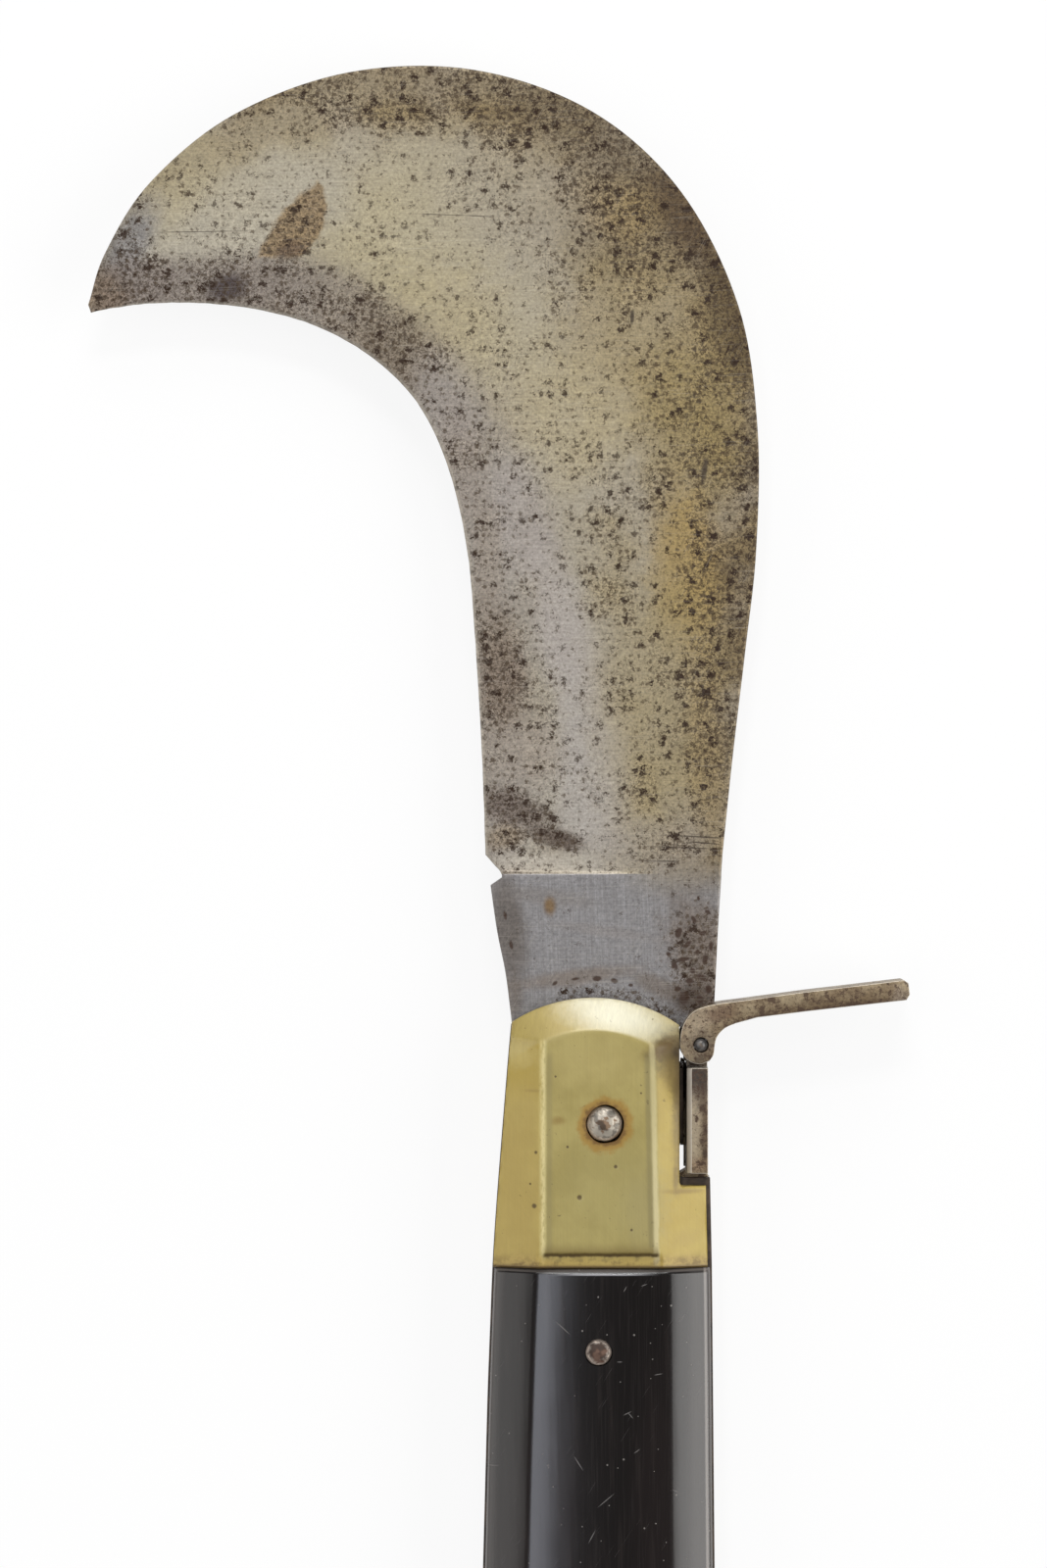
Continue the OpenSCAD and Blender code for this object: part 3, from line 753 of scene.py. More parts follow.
def makeScale(form, node, name, side, heads):
    low, high = boxOf(node)
    base = baseOf(node, side)
    outline = outlineAt(node, midZ + side * base)
    tree = rayTree(node)
    after = np.roll(outline, -1, axis=0)
    ends = form["nearEnd"]
    count = int((high.y - low.y - 2 * ends[-1]) / form["row"])
    middle = np.linspace(high.y - ends[-1], low.y + ends[-1], count)[1:-1]
    rings = []
    for y in [high.y - d for d in ends] + list(middle) + [low.y + d for d in reversed(ends)]:
        level = np.clip(y, low.y + 0.01, high.y - 0.01)
        crossed = (outline[:, 1] - level) * (after[:, 1] - level) < 0
        a, b = outline[crossed], after[crossed]
        xs = a[:, 0] + (b[:, 0] - a[:, 0]) * (level - a[:, 1]) / (b[:, 1] - a[:, 1])
        rings.append(scaleRow(form, tree, side, base, y, xs.min(), xs.max(), (low.y, high.y), heads))
    scale = skin(name, rings, form["sharp"])
    # 1 along the outer edges, fading to 0 inwards
    ends = np.array([(ring[0][1], ring[0][0], ring[-1][0]) for ring in rings[::-1]]).T
    xs, ys = np.array([v.co[:2] for v in scale.data.vertices]).T / mm
    near = np.minimum(xs - np.interp(ys, ends[0], ends[1]), np.interp(ys, ends[0], ends[2]) - xs)
    rim = scale.data.attributes.new("hornRim", "FLOAT", "POINT")
    rim.data.foreach_set("value", np.clip(1 - near / form["rim"], 0, 1).astype(np.float32))
    for x, y, radius in heads:
        hole = newPeg("hole", (x, y), radius + form["gap"], 0, 2 * midZ, ragged=form["ragged"])
        carve(scale, hole, sharp=form["sharp"])
    return scale


# Edges worn round: how wide on each piece, in how many steps, from which angle, and what is still flat
wearForm = {
    "backspring": 0.22, "lock_lever": 0.22, "near_liner": 0.12, "far_liner": 0.12,
    "steps": 3, "angle": 30, "flat": 0.6,
}


# A CAD piece with its sharp edges worn round, from a copy whose loose triangles are merged
def makeWorn(form, node, name):
    mesh = nodes[node].data.copy()
    mesh.materials.clear()
    shape = merged(mesh)
    flat = math.radians(form["flat"])
    bmesh.ops.dissolve_limit(shape, angle_limit=flat, verts=shape.verts, edges=shape.edges)
    shape.to_mesh(mesh)
    shape.free()
    piece = linked(name, mesh)
    bevel = piece.modifiers.new("wear", "BEVEL")
    bevel.width = form[node] * mm
    bevel.segments = form["steps"]
    bevel.limit_method = "ANGLE"
    bevel.angle_limit = math.radians(form["angle"])
    return settle(piece)


# A lip on the spring's broad head reaches in below the tang and stands in for the shade in the gap beside
# the bolsters, hiding the floor there
lipForm = {
    "z": (2.1, 3.8),
    "outline": [
        (9.85, -3.2), (10.25, -3.2), (10.25, -5.9), (10.9, -5.9), (10.9, 6.7), (10.15, 7.9), (9.85, 7.9),
    ],
}


def makeSpring(form):
    spring = makeWorn(wearForm, "backspring", "lockSpring")
    lip = skin("lip", [np.array([(x, y, z) for x, y in form["outline"]]) for z in form["z"]])
    return carve(spring, lip, "UNION")


# Pins and rivets: one Geometry Nodes tree turns a shank with peened ends at every point it is given.
# Its inputs are metres, and bumps are counted to the metre
pinInputs = {
    "Low": 0.0, "High": 0.01, "Shank Radius": 0.001, "Head Radius": 0.0015, "Dome": 0.0002,
    "Flare": 0.0007, "Low Head": 1.0, "High Head": 1.0, "Hammering": 0.00004,
}
pinShape = {"rings": 72, "sides": 40, "bumps": 900.0, "sunk": 0.62}


def pinTree(form):
    tree = bpy.data.node_groups.new("peenedPin", "GeometryNodeTree")
    tree.interface.new_socket("Places", in_out="INPUT", socket_type="NodeSocketGeometry")
    for name, value in pinInputs.items():
        socket = tree.interface.new_socket(name, in_out="INPUT", socket_type="NodeSocketFloat")
        socket.default_value = value
    tree.interface.new_socket("Metal", in_out="INPUT", socket_type="NodeSocketMaterial")
    tree.interface.new_socket("Pins", in_out="OUTPUT", socket_type="NodeSocketGeometry")
    entry = tree.nodes.new("NodeGroupInput")
    given = {socket.name: Wire(tree, socket) for socket in entry.outputs if socket.name}
    places, low, high = given["Places"], given["Low"], given["High"]
    line = places.add("GeometryNodeCurvePrimitiveLine", {}, {"Start": (0, 0, 0), "End": (0, 0, 1)})
    line = places.add("GeometryNodeResampleCurve", {}, {"Curve": line, "Count": form["rings"]})
    # rings lie close together at the ends, where the heads are
    share = places.add("GeometryNodeSplineParameter")
    height = low + (high - low) * (0.5 - 0.5 * share.calc("COSINE", share * math.pi))
    spot = places.add("ShaderNodeCombineXYZ", {}, {"Z": height})
    line = places.add("GeometryNodeSetPosition", {}, {"Geometry": line, "Position": spot})
    # an end without a head counts as a metre away
    fromLow = height - low + (1 - given["Low Head"])
    fromHigh = high - height + (1 - given["High Head"])
    fromEnd = fromHigh.smaller(fromLow)
    dome = (fromEnd / given["Dome"]).smaller(1.0)
    swell = (1 - (1 - dome) ** 3).larger(0.0003) ** 0.3333
    flare = ((fromEnd - given["Dome"]).larger(0.0) / given["Flare"]).smaller(1.0)
    radius = (given["Head Radius"] + (given["Shank Radius"] - given["Head Radius"]) * flare) * swell
    inputs = {"Resolution": form["sides"], "Radius": 1.0}
    ring = places.add("GeometryNodeCurvePrimitiveCircle", {}, inputs)
    body = places.add("GeometryNodeCurveToMesh", {}, {
        "Curve": line, "Profile Curve": ring, "Scale": radius, "Fill Caps": True})
    body = places.add("GeometryNodeInstanceOnPoints", {}, {"Points": places, "Instance": body})
    body = places.add("GeometryNodeRealizeInstances", {}, {"Geometry": body})
    inputs = {"Scale": form["bumps"], "Detail": 1.0, "Roughness": 0.4}
    bumps = places.add("ShaderNodeTexNoise", {}, inputs)
    normal = places.add("GeometryNodeInputNormal")
    push = normal.add("ShaderNodeVectorMath", {"operation": "SCALE"}, {
        0: normal, "Scale": (bumps - form["sunk"]) * 2 * given["Hammering"]})
    body = places.add("GeometryNodeSetPosition", {}, {"Geometry": body, "Offset": push})
    body = places.add("GeometryNodeSetMaterial", {}, {"Geometry": body, "Material": given["Metal"]})
    leave = tree.nodes.new("NodeGroupOutput")
    tree.links.new(body.socket, leave.inputs["Pins"])
    return tree


def makePins(tree, name, node, places, metal, shank, dome, heads, hammering):
    low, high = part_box(node)
    mesh = bpy.data.meshes.new(name)
    mesh.from_pydata([(x * mm, y * mm, 0) for x, y, _ in places], [], [])
    piece = linked(name, mesh)
    step = piece.modifiers.new("peened", "NODES")
    step.node_group = tree
    given = {
        "Low": low.z, "High": high.z, "Shank Radius": shank * mm, "Head Radius": places[0][2] * mm,
        "Dome": dome * mm, "Low Head": heads[0], "High Head": heads[1], "Hammering": hammering * mm,
        "Metal": metal,
    }
    for item in tree.interface.items_tree:
        if item.name in given:
            step[item.identifier] = given[item.name]
    return settle(piece)


# Gives a piece its finish, the body that it rides on and the node that it stands for
def place(piece, node, body, slotName, material):
    if material is not None:
        piece.data.materials.clear()
        piece.data.materials.append(material)
    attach(piece, body)
    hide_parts(node)


# The bolsters' arch: its middle, the radius where its filed bevel starts, and that of the rust beside it
arch = {"middle": (-1.4, -3.05), "bevel": 15, "rust": 20.8}


# Old carbon steel: grey where the stone still polishes it, straw and brown towards the back
bladeLook = {
    "shader": {"Metallic": 0.35}, "rough": 0.43, "relief": 0.05,
    # tones from the edge to the back, and of the lines on the ricasso
    "across": [
        (0.0, (140, 129, 115)), (0.14, (150, 140, 125)), (0.36, (163, 154, 135)),
        (0.66, (156, 142, 110)), (0.88, (138, 120, 84)), (1.0, (116, 100, 70)),
    ],
    "ricasso": ((128, 125, 124), (144, 142, 142)),
    "stains": [
        # the hook's middle, and the straw zones round it
        (-24, 115, 13, 9, 20, (176, 165, 134), 0.75), (-46, 116, 15, 6, 25, (178, 170, 150), 0.7),
        (-55.5, 119.5, 10, 4.5, 48, (174, 162, 130), 0.6), (-21, 102, 8, 7, 0, (174, 160, 122), 0.6),
        (-30, 107, 10, 5, -25, (172, 160, 126), 0.5),
        # grey and violet along the hook's edge and at its tip
        (-52, 106.3, 16, 3.6, 4, (132, 123, 114), 0.85),
        (-60.6, 111.6, 2.6, 6, -28, (128, 127, 130), 0.75),
        (-60, 107.3, 5.5, 2.8, 5, (128, 118, 110), 0.75), (-63.9, 105.4, 3, 3, 0, (126, 107, 87), 0.7),
        (-48, 106.3, 2.5, 1.5, 15, (60, 51, 54), 0.9), (-35, 105.3, 9, 3.0, -18, (134, 124, 113), 0.65),
        (-24.5, 97, 9, 4.2, -44, (122, 110, 95), 0.8), (3.5, 115, 9.5, 8, -35, (124, 108, 76), 0.7),
        (14.8, 88, 3.6, 9, 0, (132, 115, 78), 0.6), (-19.8, 92.4, 4, 6, 20, (160, 153, 146), 0.6),
        (-18.2, 84, 2.6, 8, 8, (148, 137, 126), 0.5),
        # brown along the back
        (-21, 132.5, 17, 2.8, 0, (142, 129, 105), 0.7), (-40, 128, 10, 2.4, 22, (156, 144, 119), 0.6),
        (-3, 126, 9, 3.4, -32, (120, 107, 84), 0.7), (10.9, 115.4, 7.5, 3.6, -55, (88, 70, 46), 0.88),
        (15.6, 103, 2.6, 8, 12, (90, 74, 45), 0.8), (1.5, 116.2, 5, 3.4, -20, (150, 128, 82), 0.7),
        (-11, 118, 11, 7, -10, (158, 149, 134), 0.5), (-12, 100, 7, 10, 15, (176, 164, 132), 0.5),
        (4, 101, 9, 9, 0, (156, 139, 100), 0.55), (11, 89, 6.5, 10, 5, (149, 130, 80), 0.62),
        (-4, 89, 7, 8, 0, (176, 162, 126), 0.6),
        # the straight part: a grey streak up the middle, straw on its right, brown on its left
        (-10.5, 77, 3.6, 8, 14, (162, 154, 148), 0.6), (-5, 62, 3.2, 11, 13, (170, 162, 155), 0.7),
        (-1.5, 45, 4.6, 12, 4, (170, 164, 158), 0.75), (10.3, 70, 4, 10, 3, (160, 132, 64), 0.7),
        (7, 54, 8, 16, 0, (155, 140, 102), 0.58), (13.2, 47, 2.4, 13, 4, (146, 126, 84), 0.6),
        (-12.9, 56.5, 2.8, 6, 0, (118, 101, 84), 0.65), (-14.8, 72, 1.6, 8, 2, (150, 138, 124), 0.5),
        (-10, 46.5, 4.5, 4, 0, (158, 147, 134), 0.6), (-11.6, 39.7, 4.8, 2.2, -20, (104, 92, 83), 0.85),
        (-5.8, 36.0, 3.2, 1.2, -14, (80, 66, 56), 0.85),
        (-12.8, 36.2, 2.4, 1.5, 10, (132, 115, 90), 0.65),
        (-8.4, 33.0, 6.4, 1.1, 0, (180, 172, 158), 0.7), (6, 35, 7, 3.4, 0, (150, 142, 132), 0.5),
    ],
    # the leaf-shaped stain in the hook lies where two round ones overlap, above its foot: middle, radius,
    # softness and raggedness of each
    "leaf": [((-42.5, 116.2), 7.1, 0.04, 0.12), ((-27.4, 104.4), 17.7, 0.02, 0.06)], "leafFoot": 110.2,
    # the ricasso, below the plunge line
    "ricassoStains": [
        (-12.2, 25, 2.1, 7, 8, (98, 90, 83), 0.85), (13.4, 20, 4.4, 9, 20, (112, 98, 84), 0.75),
        (-7.2, 28.6, 5.6, 1.1, -6, (128, 122, 117), 0.6),
        (-6.9, 27.5, 0.75, 1.1, 0, (118, 92, 56), 0.9), (0.4, 24.2, 7, 0.7, -8, (134, 128, 124), 0.5),
        (-3.5, 18.4, 7, 1.0, 8, (118, 104, 90), 0.6), (7.0, 17.2, 3.6, 1.2, -24, (110, 97, 84), 0.6),
        (11, 15.6, 2.4, 2.0, 0, (72, 58, 46), 0.75), (-11.8, 16, 1.4, 3, 0, (104, 92, 80), 0.6),
    ],
    # rust spots on the ricasso: x, y, half width, half height, turn
    "spots": [
        (9.5, 24.1, 0.34, 0.6, -20), (10.6, 22.6, 0.6, 0.3, 35), (11.4, 25.8, 0.26, 0.5, 30),
        (12.6, 24.0, 0.5, 0.28, 20), (10.1, 20.7, 0.8, 0.3, 15), (12.9, 20.8, 0.36, 0.6, -10),
        (9.0, 19.9, 0.3, 0.5, 40), (12.4, 18.4, 0.8, 0.4, -30), (11.3, 19.2, 0.34, 0.34, 0),
        (10.8, 17.9, 0.5, 0.4, 0), (9.4, 16.9, 0.4, 0.3, 20), (13.3, 16.9, 0.4, 0.5, 0),
        (10.2, 15.9, 0.7, 0.9, 0), (12.2, 15.6, 0.4, 0.5, 20), (13.6, 22.3, 0.3, 0.6, 0),
        (11.9, 21.6, 0.26, 0.3, 0), (8.2, 21.4, 0.3, 0.22, 0), (13.2, 26.7, 0.35, 0.2, -30),
        (12.0, 28.4, 0.2, 0.3, 0), (-6.3, 17.6, 0.4, 0.24, 30), (-3.6, 18.2, 0.5, 0.22, 10),
        (-0.9, 18.2, 0.55, 0.3, 0), (1.3, 18.0, 0.45, 0.35, -20), (3.4, 17.4, 0.3, 0.2, 0),
        (-11.8, 22.5, 0.24, 0.6, 10), (-12.6, 26.3, 0.2, 0.5, 10),
    ],
    # long scratches and scars: x, y, half length, half width, turn
    "scratches": [
        (11.6, 36.3, 3.4, 0.1, -3), (9.8, 34.9, 3.6, 0.08, -2), (6.9, 33.2, 3.0, 0.07, -1),
        (12.6, 35.5, 2.0, 0.08, -5), (-52, 113.4, 6, 0.05, 1), (-19, 115.5, 5, 0.05, -2),
        (12.8, 83, 1.8, 0.36, 82), (3.6, 102.5, 0.8, 0.22, 88),
    ],
}


def bladeFinish(form):
    look = Finish("bladeSteel")
    across = look.attribute("bladeSpot", 1).part(0)
    wander = look.noise(7, 3, 0.55, shift=3)
    ragged = look.noise(2.4, 4, 0.65, shift=11)
    cloudy = look.noise(13, 2, 0.5, shift=29)
    stops = {"stops": form["across"]}
    look.color = across.add("ShaderNodeValToRGB", stops, {0: across + (wander - 0.5) * 0.5})
    look.coat(cloudy.rise(0.4, 0.62) * 0.35, 164, 160, 154)
    look.stain(form["stains"], ragged)
    leaf = (look.y + (ragged - 0.5) * 2.5).rise(form["leafFoot"] - 0.4, form["leafFoot"] + 0.4)
    for at, radius, soft, amount in form["leaf"]:
        leaf = leaf * look.patch(at, (radius, radius), 0, soft, ragged, amount)
    look.coat(leaf * 0.85, 138, 115, 80)
    foot = look.patch((-39.8, 111.1), (1.9, 1.0), 12, 0.6, ragged, 0.5)
    look.coat(foot * 0.65, 92, 70, 54)
    # below the plunge line, which fades out towards the back
    plunge = bladeForm["plunge"] + 0.1
    fades = look.x.rise(1, 8)
    below = look.y.rise(plunge + 0.12, plunge) * (1 - fades) + look.y.rise(plunge + 4, plunge - 4) * fades
    lined = look.noise(1.0, 3, 0.6, (0.16, 12, 1), 3, 5)
    ground = look.color
    look.color = look.blend(lined.rise(0.3, 0.7), *form["ricasso"])
    look.stain(form["ricassoStains"], ragged)
    look.color = look.blend(below, ground, look.color)
    crowd = look.darkness(0.4, 0.14) * 1.15 + wander.rise(0.42, 0.62) * 0.5 - 0.15
    spotted = look.patch((14.5, 18), (6, 10), 20, 0.5, ragged, 0.3)
    nearBrass = look.reach(arch["middle"]).rise(arch["rust"] + 0.8, arch["rust"] - 0.8)
    nearBrass = nearBrass * look.x.rise(-8, -5)
    crowd = (crowd * (1 - below) + below * (spotted.larger(nearBrass * 0.8) * 1.9 - 0.7)).smaller(0.95)
    # grain, specks and pits
    grain = look.noise(0.34, 2, 0.7, shift=17)
    silk = look.noise(1.0, 2, 0.6, (3.2, 0.16, 1), 0, 41)
    look.lighten(0.93 + (grain - 0.5) * (1.05 + crowd.larger(0) * 0.8) + (silk - 0.5) * 0.45
                 + crowd.rise(0.5, 0.95) * (1 - below) * 0.12)
    onFace = look.flatness().rise(0.3, 0.75)
    dust = look.pitting(0.95, 0.3, 0.62, crowd * 1.2, 23) * onFace
    pits = look.pitting(2.0, 0.55, 0.63, crowd * 0.7, 37) * onFace
    look.coat(dust * (0.25 + grain * 0.8 + crowd * 0.15), 66, 50, 32)
    fine = look.flecks(0.42, 0.6, crowd, 53, 0.08) * crowd.rise(0.4, 0.95) * (1 - below)
    look.coat(fine * (0.25 + crowd.larger(0) * 0.45), 54, 40, 26)
    look.coat(pits * (0.2 + grain + crowd * 0.35), 50, 34, 22)
    scars = ("scratches", 0.5, (54, 43, 34), 0.85), ("spots", 0.35, (58, 39, 27), 0.9)
    for marks, soft, hue, strength in scars:
        found = strongest(look.patch((x, y), (wide, high), turn, soft, ragged, 0.9)
                          for x, y, wide, high, turn in form[marks])
        look.coat(found * strength, *hue)
    wearAndHighlight = look.scratches(0.07, 7, 2, 0.67, 61).larger(look.scratches(0.06, 5, 62, 0.69, 67))
    look.coat(wearAndHighlight * 0.25, 196, 189, 174)
    # painted highlight: a pale line along the cutting edge, standing in for light off its rounding
    edgeHighlight = across.rise(0.014, 0.004) * (1 - below)
    look.coat(edgeHighlight * 0.4, 186, 179, 166)
    rough = form["rough"] + (grain - 0.5) * 0.2 + pits * 0.35 + dust * 0.2 - wearAndHighlight * 0.08
    height = grain * 0.12 + silk * 0.08 + wander * 0.6
    return look.finish(form, rough, height)


# Brass with dirt at its foot, rust round the pin and a darker upper right corner; painted highlights on
# its creases and filed bevel, and painted shade beside the creases, along the panel's step and down its
# right edge
brassLook = {
    "shader": {"Metallic": 0.08}, "rough": 0.36, "relief": 0.03,
    # darker and lighter tones of the brass, of its panel and of the filed bevel; the bevel's lighter tone
    # is a painted highlight
    "tones": ((164, 143, 72), (174, 154, 82)), "panelTones": ((150, 136, 78), (163, 149, 90)),
    "bevelTones": ((166, 148, 86), (212, 208, 184)),
    # sides and foot of the panel, lines of the painted crease highlights beside it, the right one with a
    # lean
    "panel": (-7.9, 6.7), "foot": -16.6, "left": -7.8, "right": 6.2, "lean": -0.022,
    # rings of rust round the pin
    "pin": (0.1, -0.1), "rust": 3.5, "darkRust": 2.8,
    "stains": [
        (-0.8, 8.2, 7, 3, 0, (172, 157, 100), 0.5), (0.5, -8, 6, 7, 0, (154, 143, 90), 0.45),
        (5.0, -11, 2.4, 5, 0, (152, 141, 96), 0.45), (-5.9, 0.45, 0.8, 0.5, 0, (128, 102, 48), 0.6),
        (-9.0, 4.2, 1.0, 0.2, 0, (140, 116, 58), 0.5), (-11.2, 8.6, 2.2, 1.4, 0, (186, 168, 104), 0.5),
        # the dark patches down the right edge, at (9.8, 5.2) and (9.6, 0.2), are painted shade beside the
        # gap to the spring; the two before them darken the upper right corner
        (9.4, 8.2, 2.6, 3.2, 30, (44, 29, 6), 0.98), (7.3, 9.6, 2.2, 1.0, 28, (88, 66, 22), 0.85),
        (9.8, 5.2, 1.1, 4.4, 0, (60, 46, 20), 0.92), (9.6, 0.2, 0.9, 6.5, 0, (104, 85, 44), 0.75),
        (8.2, 6.6, 0.8, 2.2, 0, (132, 112, 62), 0.6), (9.9, -8.6, 2.2, 0.3, 0, (124, 100, 48), 0.6),
        (9.0, -6.9, 0.35, 1.5, 0, (104, 84, 42), 0.6), (-10.4, -17.9, 3.4, 0.5, 2, (112, 88, 42), 0.75),
        (11, -17.5, 3, 0.6, 0, (122, 98, 48), 0.6), (10.2, -14.6, 1.8, 1.0, 20, (150, 128, 70), 0.3),
        (-12.9, 12.2, 1.4, 1.2, 0, (118, 96, 52), 0.5),
    ],
    "pits": [
        (1.4, -5.4, 0.22), (-3.2, -9.3, 0.3), (-4.7, -2.9, 0.16), (-8.7, -3.6, 0.2), (-8.9, -10.4, 0.3),
        (-9.4, -7.6, 0.14), (3.4, -13.4, 0.15), (4.6, 3.9, 0.13), (-6.2, 6.0, 0.13),
    ],
}


def brassFinish(form):
    look = Finish("brass")
    side, foot = form["panel"], form["foot"]
    ragged = look.noise(1.1, 4, 0.65, shift=7)
    cloudy = look.noise(5, 3, 0.55, shift=19)
    panelMask = look.x.rise(side[0] - 0.3, side[0] + 0.3) * look.x.rise(side[1] + 0.3, side[1] - 0.3)
    look.color = look.blend(cloudy.rise(0.35, 0.65), *form["tones"])
    panel = look.blend(cloudy.rise(0.35, 0.65), *form["panelTones"])
    look.color = look.blend(panelMask, look.color, panel)
    look.coat(look.x.rise(-7.6, -9.4) * 0.5, 162, 140, 72)
    look.coat(look.patch((10, 9), (3.5, 8), 0, 0.8) * 0.5, 150, 130, 70)
    richer = (look.y.rise(2, 7) * 0.75).larger(look.x.rise(6.6, 7.4) * 0.4)
    look.coat((1 - panelMask) * richer, 162, 139, 54)
    # the filed bevel round the arch is the palest, from a painted highlight across its middle
    bevel = look.reach(arch["middle"]).rise(arch["bevel"] - 0.3, arch["bevel"] + 0.3)
    bevel = bevel * look.y.rise(7.5, 9.5)
    filed = look.noise(1.0, 3, 0.65, (0.3, 4, 1), -12, 13)
    flat = look.color
    bevelHighlight = look.patch((1.6, 13.6), (6.4, 2.6), -18, 0.8, ragged, 0.3)
    look.color = look.blend(bevelHighlight, *form["bevelTones"])
    look.lighten(1 + (filed - 0.5) * 0.3)
    look.color = look.blend(bevel, flat, look.color)
    look.stain(form["stains"], ragged, 0.5, 0.7)
    # painted highlights along the creases, and painted shade beside them
    fromLeft = look.x - form["left"]
    fromRight = look.x - look.y * form["lean"] - form["right"]
    uneven = look.noise(1.0, 3, 0.7, (0.5, 1.6, 1), 0, 57)
    ends = look.y.rise(-18.4, -17.6)
    left = (abs(fromLeft) + (uneven - 0.5) * 0.7).rise(0.68, 0.1) * look.y.rise(10.9, 10.2) * ends
    right = (abs(fromRight) + (uneven - 0.5) * 0.3).rise(0.58, 0.14) * look.y.rise(10.4, 9.8) * ends
    look.coat(left * (uneven.rise(0.35, 0.6) * 0.6 + 0.2), 214, 200, 142)
    look.coat(right * (0.55 + look.y.rise(8, -8) * 0.25), 206, 195, 150)
    shade = abs(fromRight + 0.62).rise(0.6, 0.1) * look.y.rise(9.4, 8) * look.y.rise(-16.5, -15)
    shade = shade.larger(abs(fromLeft - 0.8).rise(0.6, 0.1) * look.y.rise(10, 8) * 0.7)
    look.coat(shade * 0.65, 130, 120, 80)
    # rust and dirt, and painted shade above and along the panel's step
    ring = look.reach(form["pin"]) + (ragged - 0.5) * 1.8
    look.coat(ring.rise(form["rust"] + 0.4, form["rust"] - 0.4) * 0.75, 150, 113, 42)
    look.coat(ring.rise(form["darkRust"] + 0.3, form["darkRust"] - 0.3) * 0.8, 98, 68, 31)
    inPanel = look.x.rise(side[0] - 0.1, side[0] + 0.5) * look.x.rise(side[1] + 0.4, side[1] - 0.1)
    below = (look.y + (ragged - 0.5) * 1.6).rise(foot + 0.7, foot - 1.1)
    below = below.larger(look.y.rise(foot + 0.1, foot - 0.2) * inPanel * 0.6)
    dirt = look.blend(ragged.rise(0.42, 0.64), (166, 142, 76), (112, 90, 44))
    look.color = look.blend(below * 0.75, look.color, dirt)
    # painted shade: a soft dark band above the panel's step, then a dark line along it
    stepShade = look.y.rise(foot + 1.8, foot + 0.1) * look.y.rise(foot - 0.3, foot) * inPanel
    look.coat(stepShade * 0.6, 108, 90, 46)
    step = abs(look.y - foot + (ragged - 0.5) * 0.5).rise(0.36, 0.08) * inPanel
    look.coat(step * (0.55 + ragged * 0.6), 70, 54, 26)
    look.coat((look.y + (ragged - 0.5) * 0.5).rise(-17.75, -18.15) * 0.8, 92, 72, 42)
    pits = strongest(look.patch((x, y), (size, size), 0, 0.4, ragged, 0.5) for x, y, size in form["pits"])
    specks = look.flecks(0.7, 0.70, cloudy * 0.3, 31, 0.04)
    look.coat(pits.larger(specks * 0.6) * 0.85, 74, 56, 28)
    # brushing along the panel, finer at a slant elsewhere
    brushed = look.noise(1.0, 3, 0.6, (0.18, 5, 1), 0, 43)
    filed = look.noise(1.0, 2, 0.6, (0.12, 2.2, 1), 38, 47)
    look.lighten(1 + (brushed - 0.5) * 0.18 + (filed - 0.5) * 0.12)
    grime = look.patch((9.5, 6.8), (1.8, 4.4), 6, 0.6, ragged, 0.5)
    rough = form["rough"] + (ragged - 0.5) * 0.15 + pits * 0.2 - bevel * 0.04 + grime * 0.45
    height = brushed * 0.18 + filed * 0.12 - pits * 0.8 + cloudy * 0.9 - specks * 0.3
    return look.finish(form, rough, height)


# Dark polished horn with dust and hairs on it
hornLook = {
    "shader": {"Metallic": 0.0, "IOR": 1.54}, "rough": 0.14, "relief": 0.02,
    "tones": ((15, 11, 10), (24, 18, 17)),
    # painted highlight across the horn's rounded end where it meets the brass, and a painted highlight
    # line along its outer edge on the right
    "joint": -19.08, "line": 0.82,
    # spacing, size and place in the noise of the fine and the coarse dust
    "dust": [(2.3, 0.07, 25), (4.1, 0.1, 71)],
    # hairs: x, y, half length, turn
    "hairs": [
        (2.6, -20.9, 0.35, 60), (5.0, -20.4, 0.35, 20), (9.8, -24.7, 0.6, 50), (-5.3, -25.8, 1.1, -42),
        (-3.3, -42.9, 0.9, -58), (2.9, -36.6, 0.5, 25), (3.3, -36.9, 0.4, -50), (6.8, -31.7, 0.45, 10),
        (1.9, -30.1, 0.3, 0), (-14.2, -43.4, 0.7, 0), (4.1, -41.4, 0.4, 35), (9.0, -46.5, 0.35, -20),
        (0.2, -47.6, 1.1, 40), (-1.6, -52.2, 0.8, 62),
    ],
}


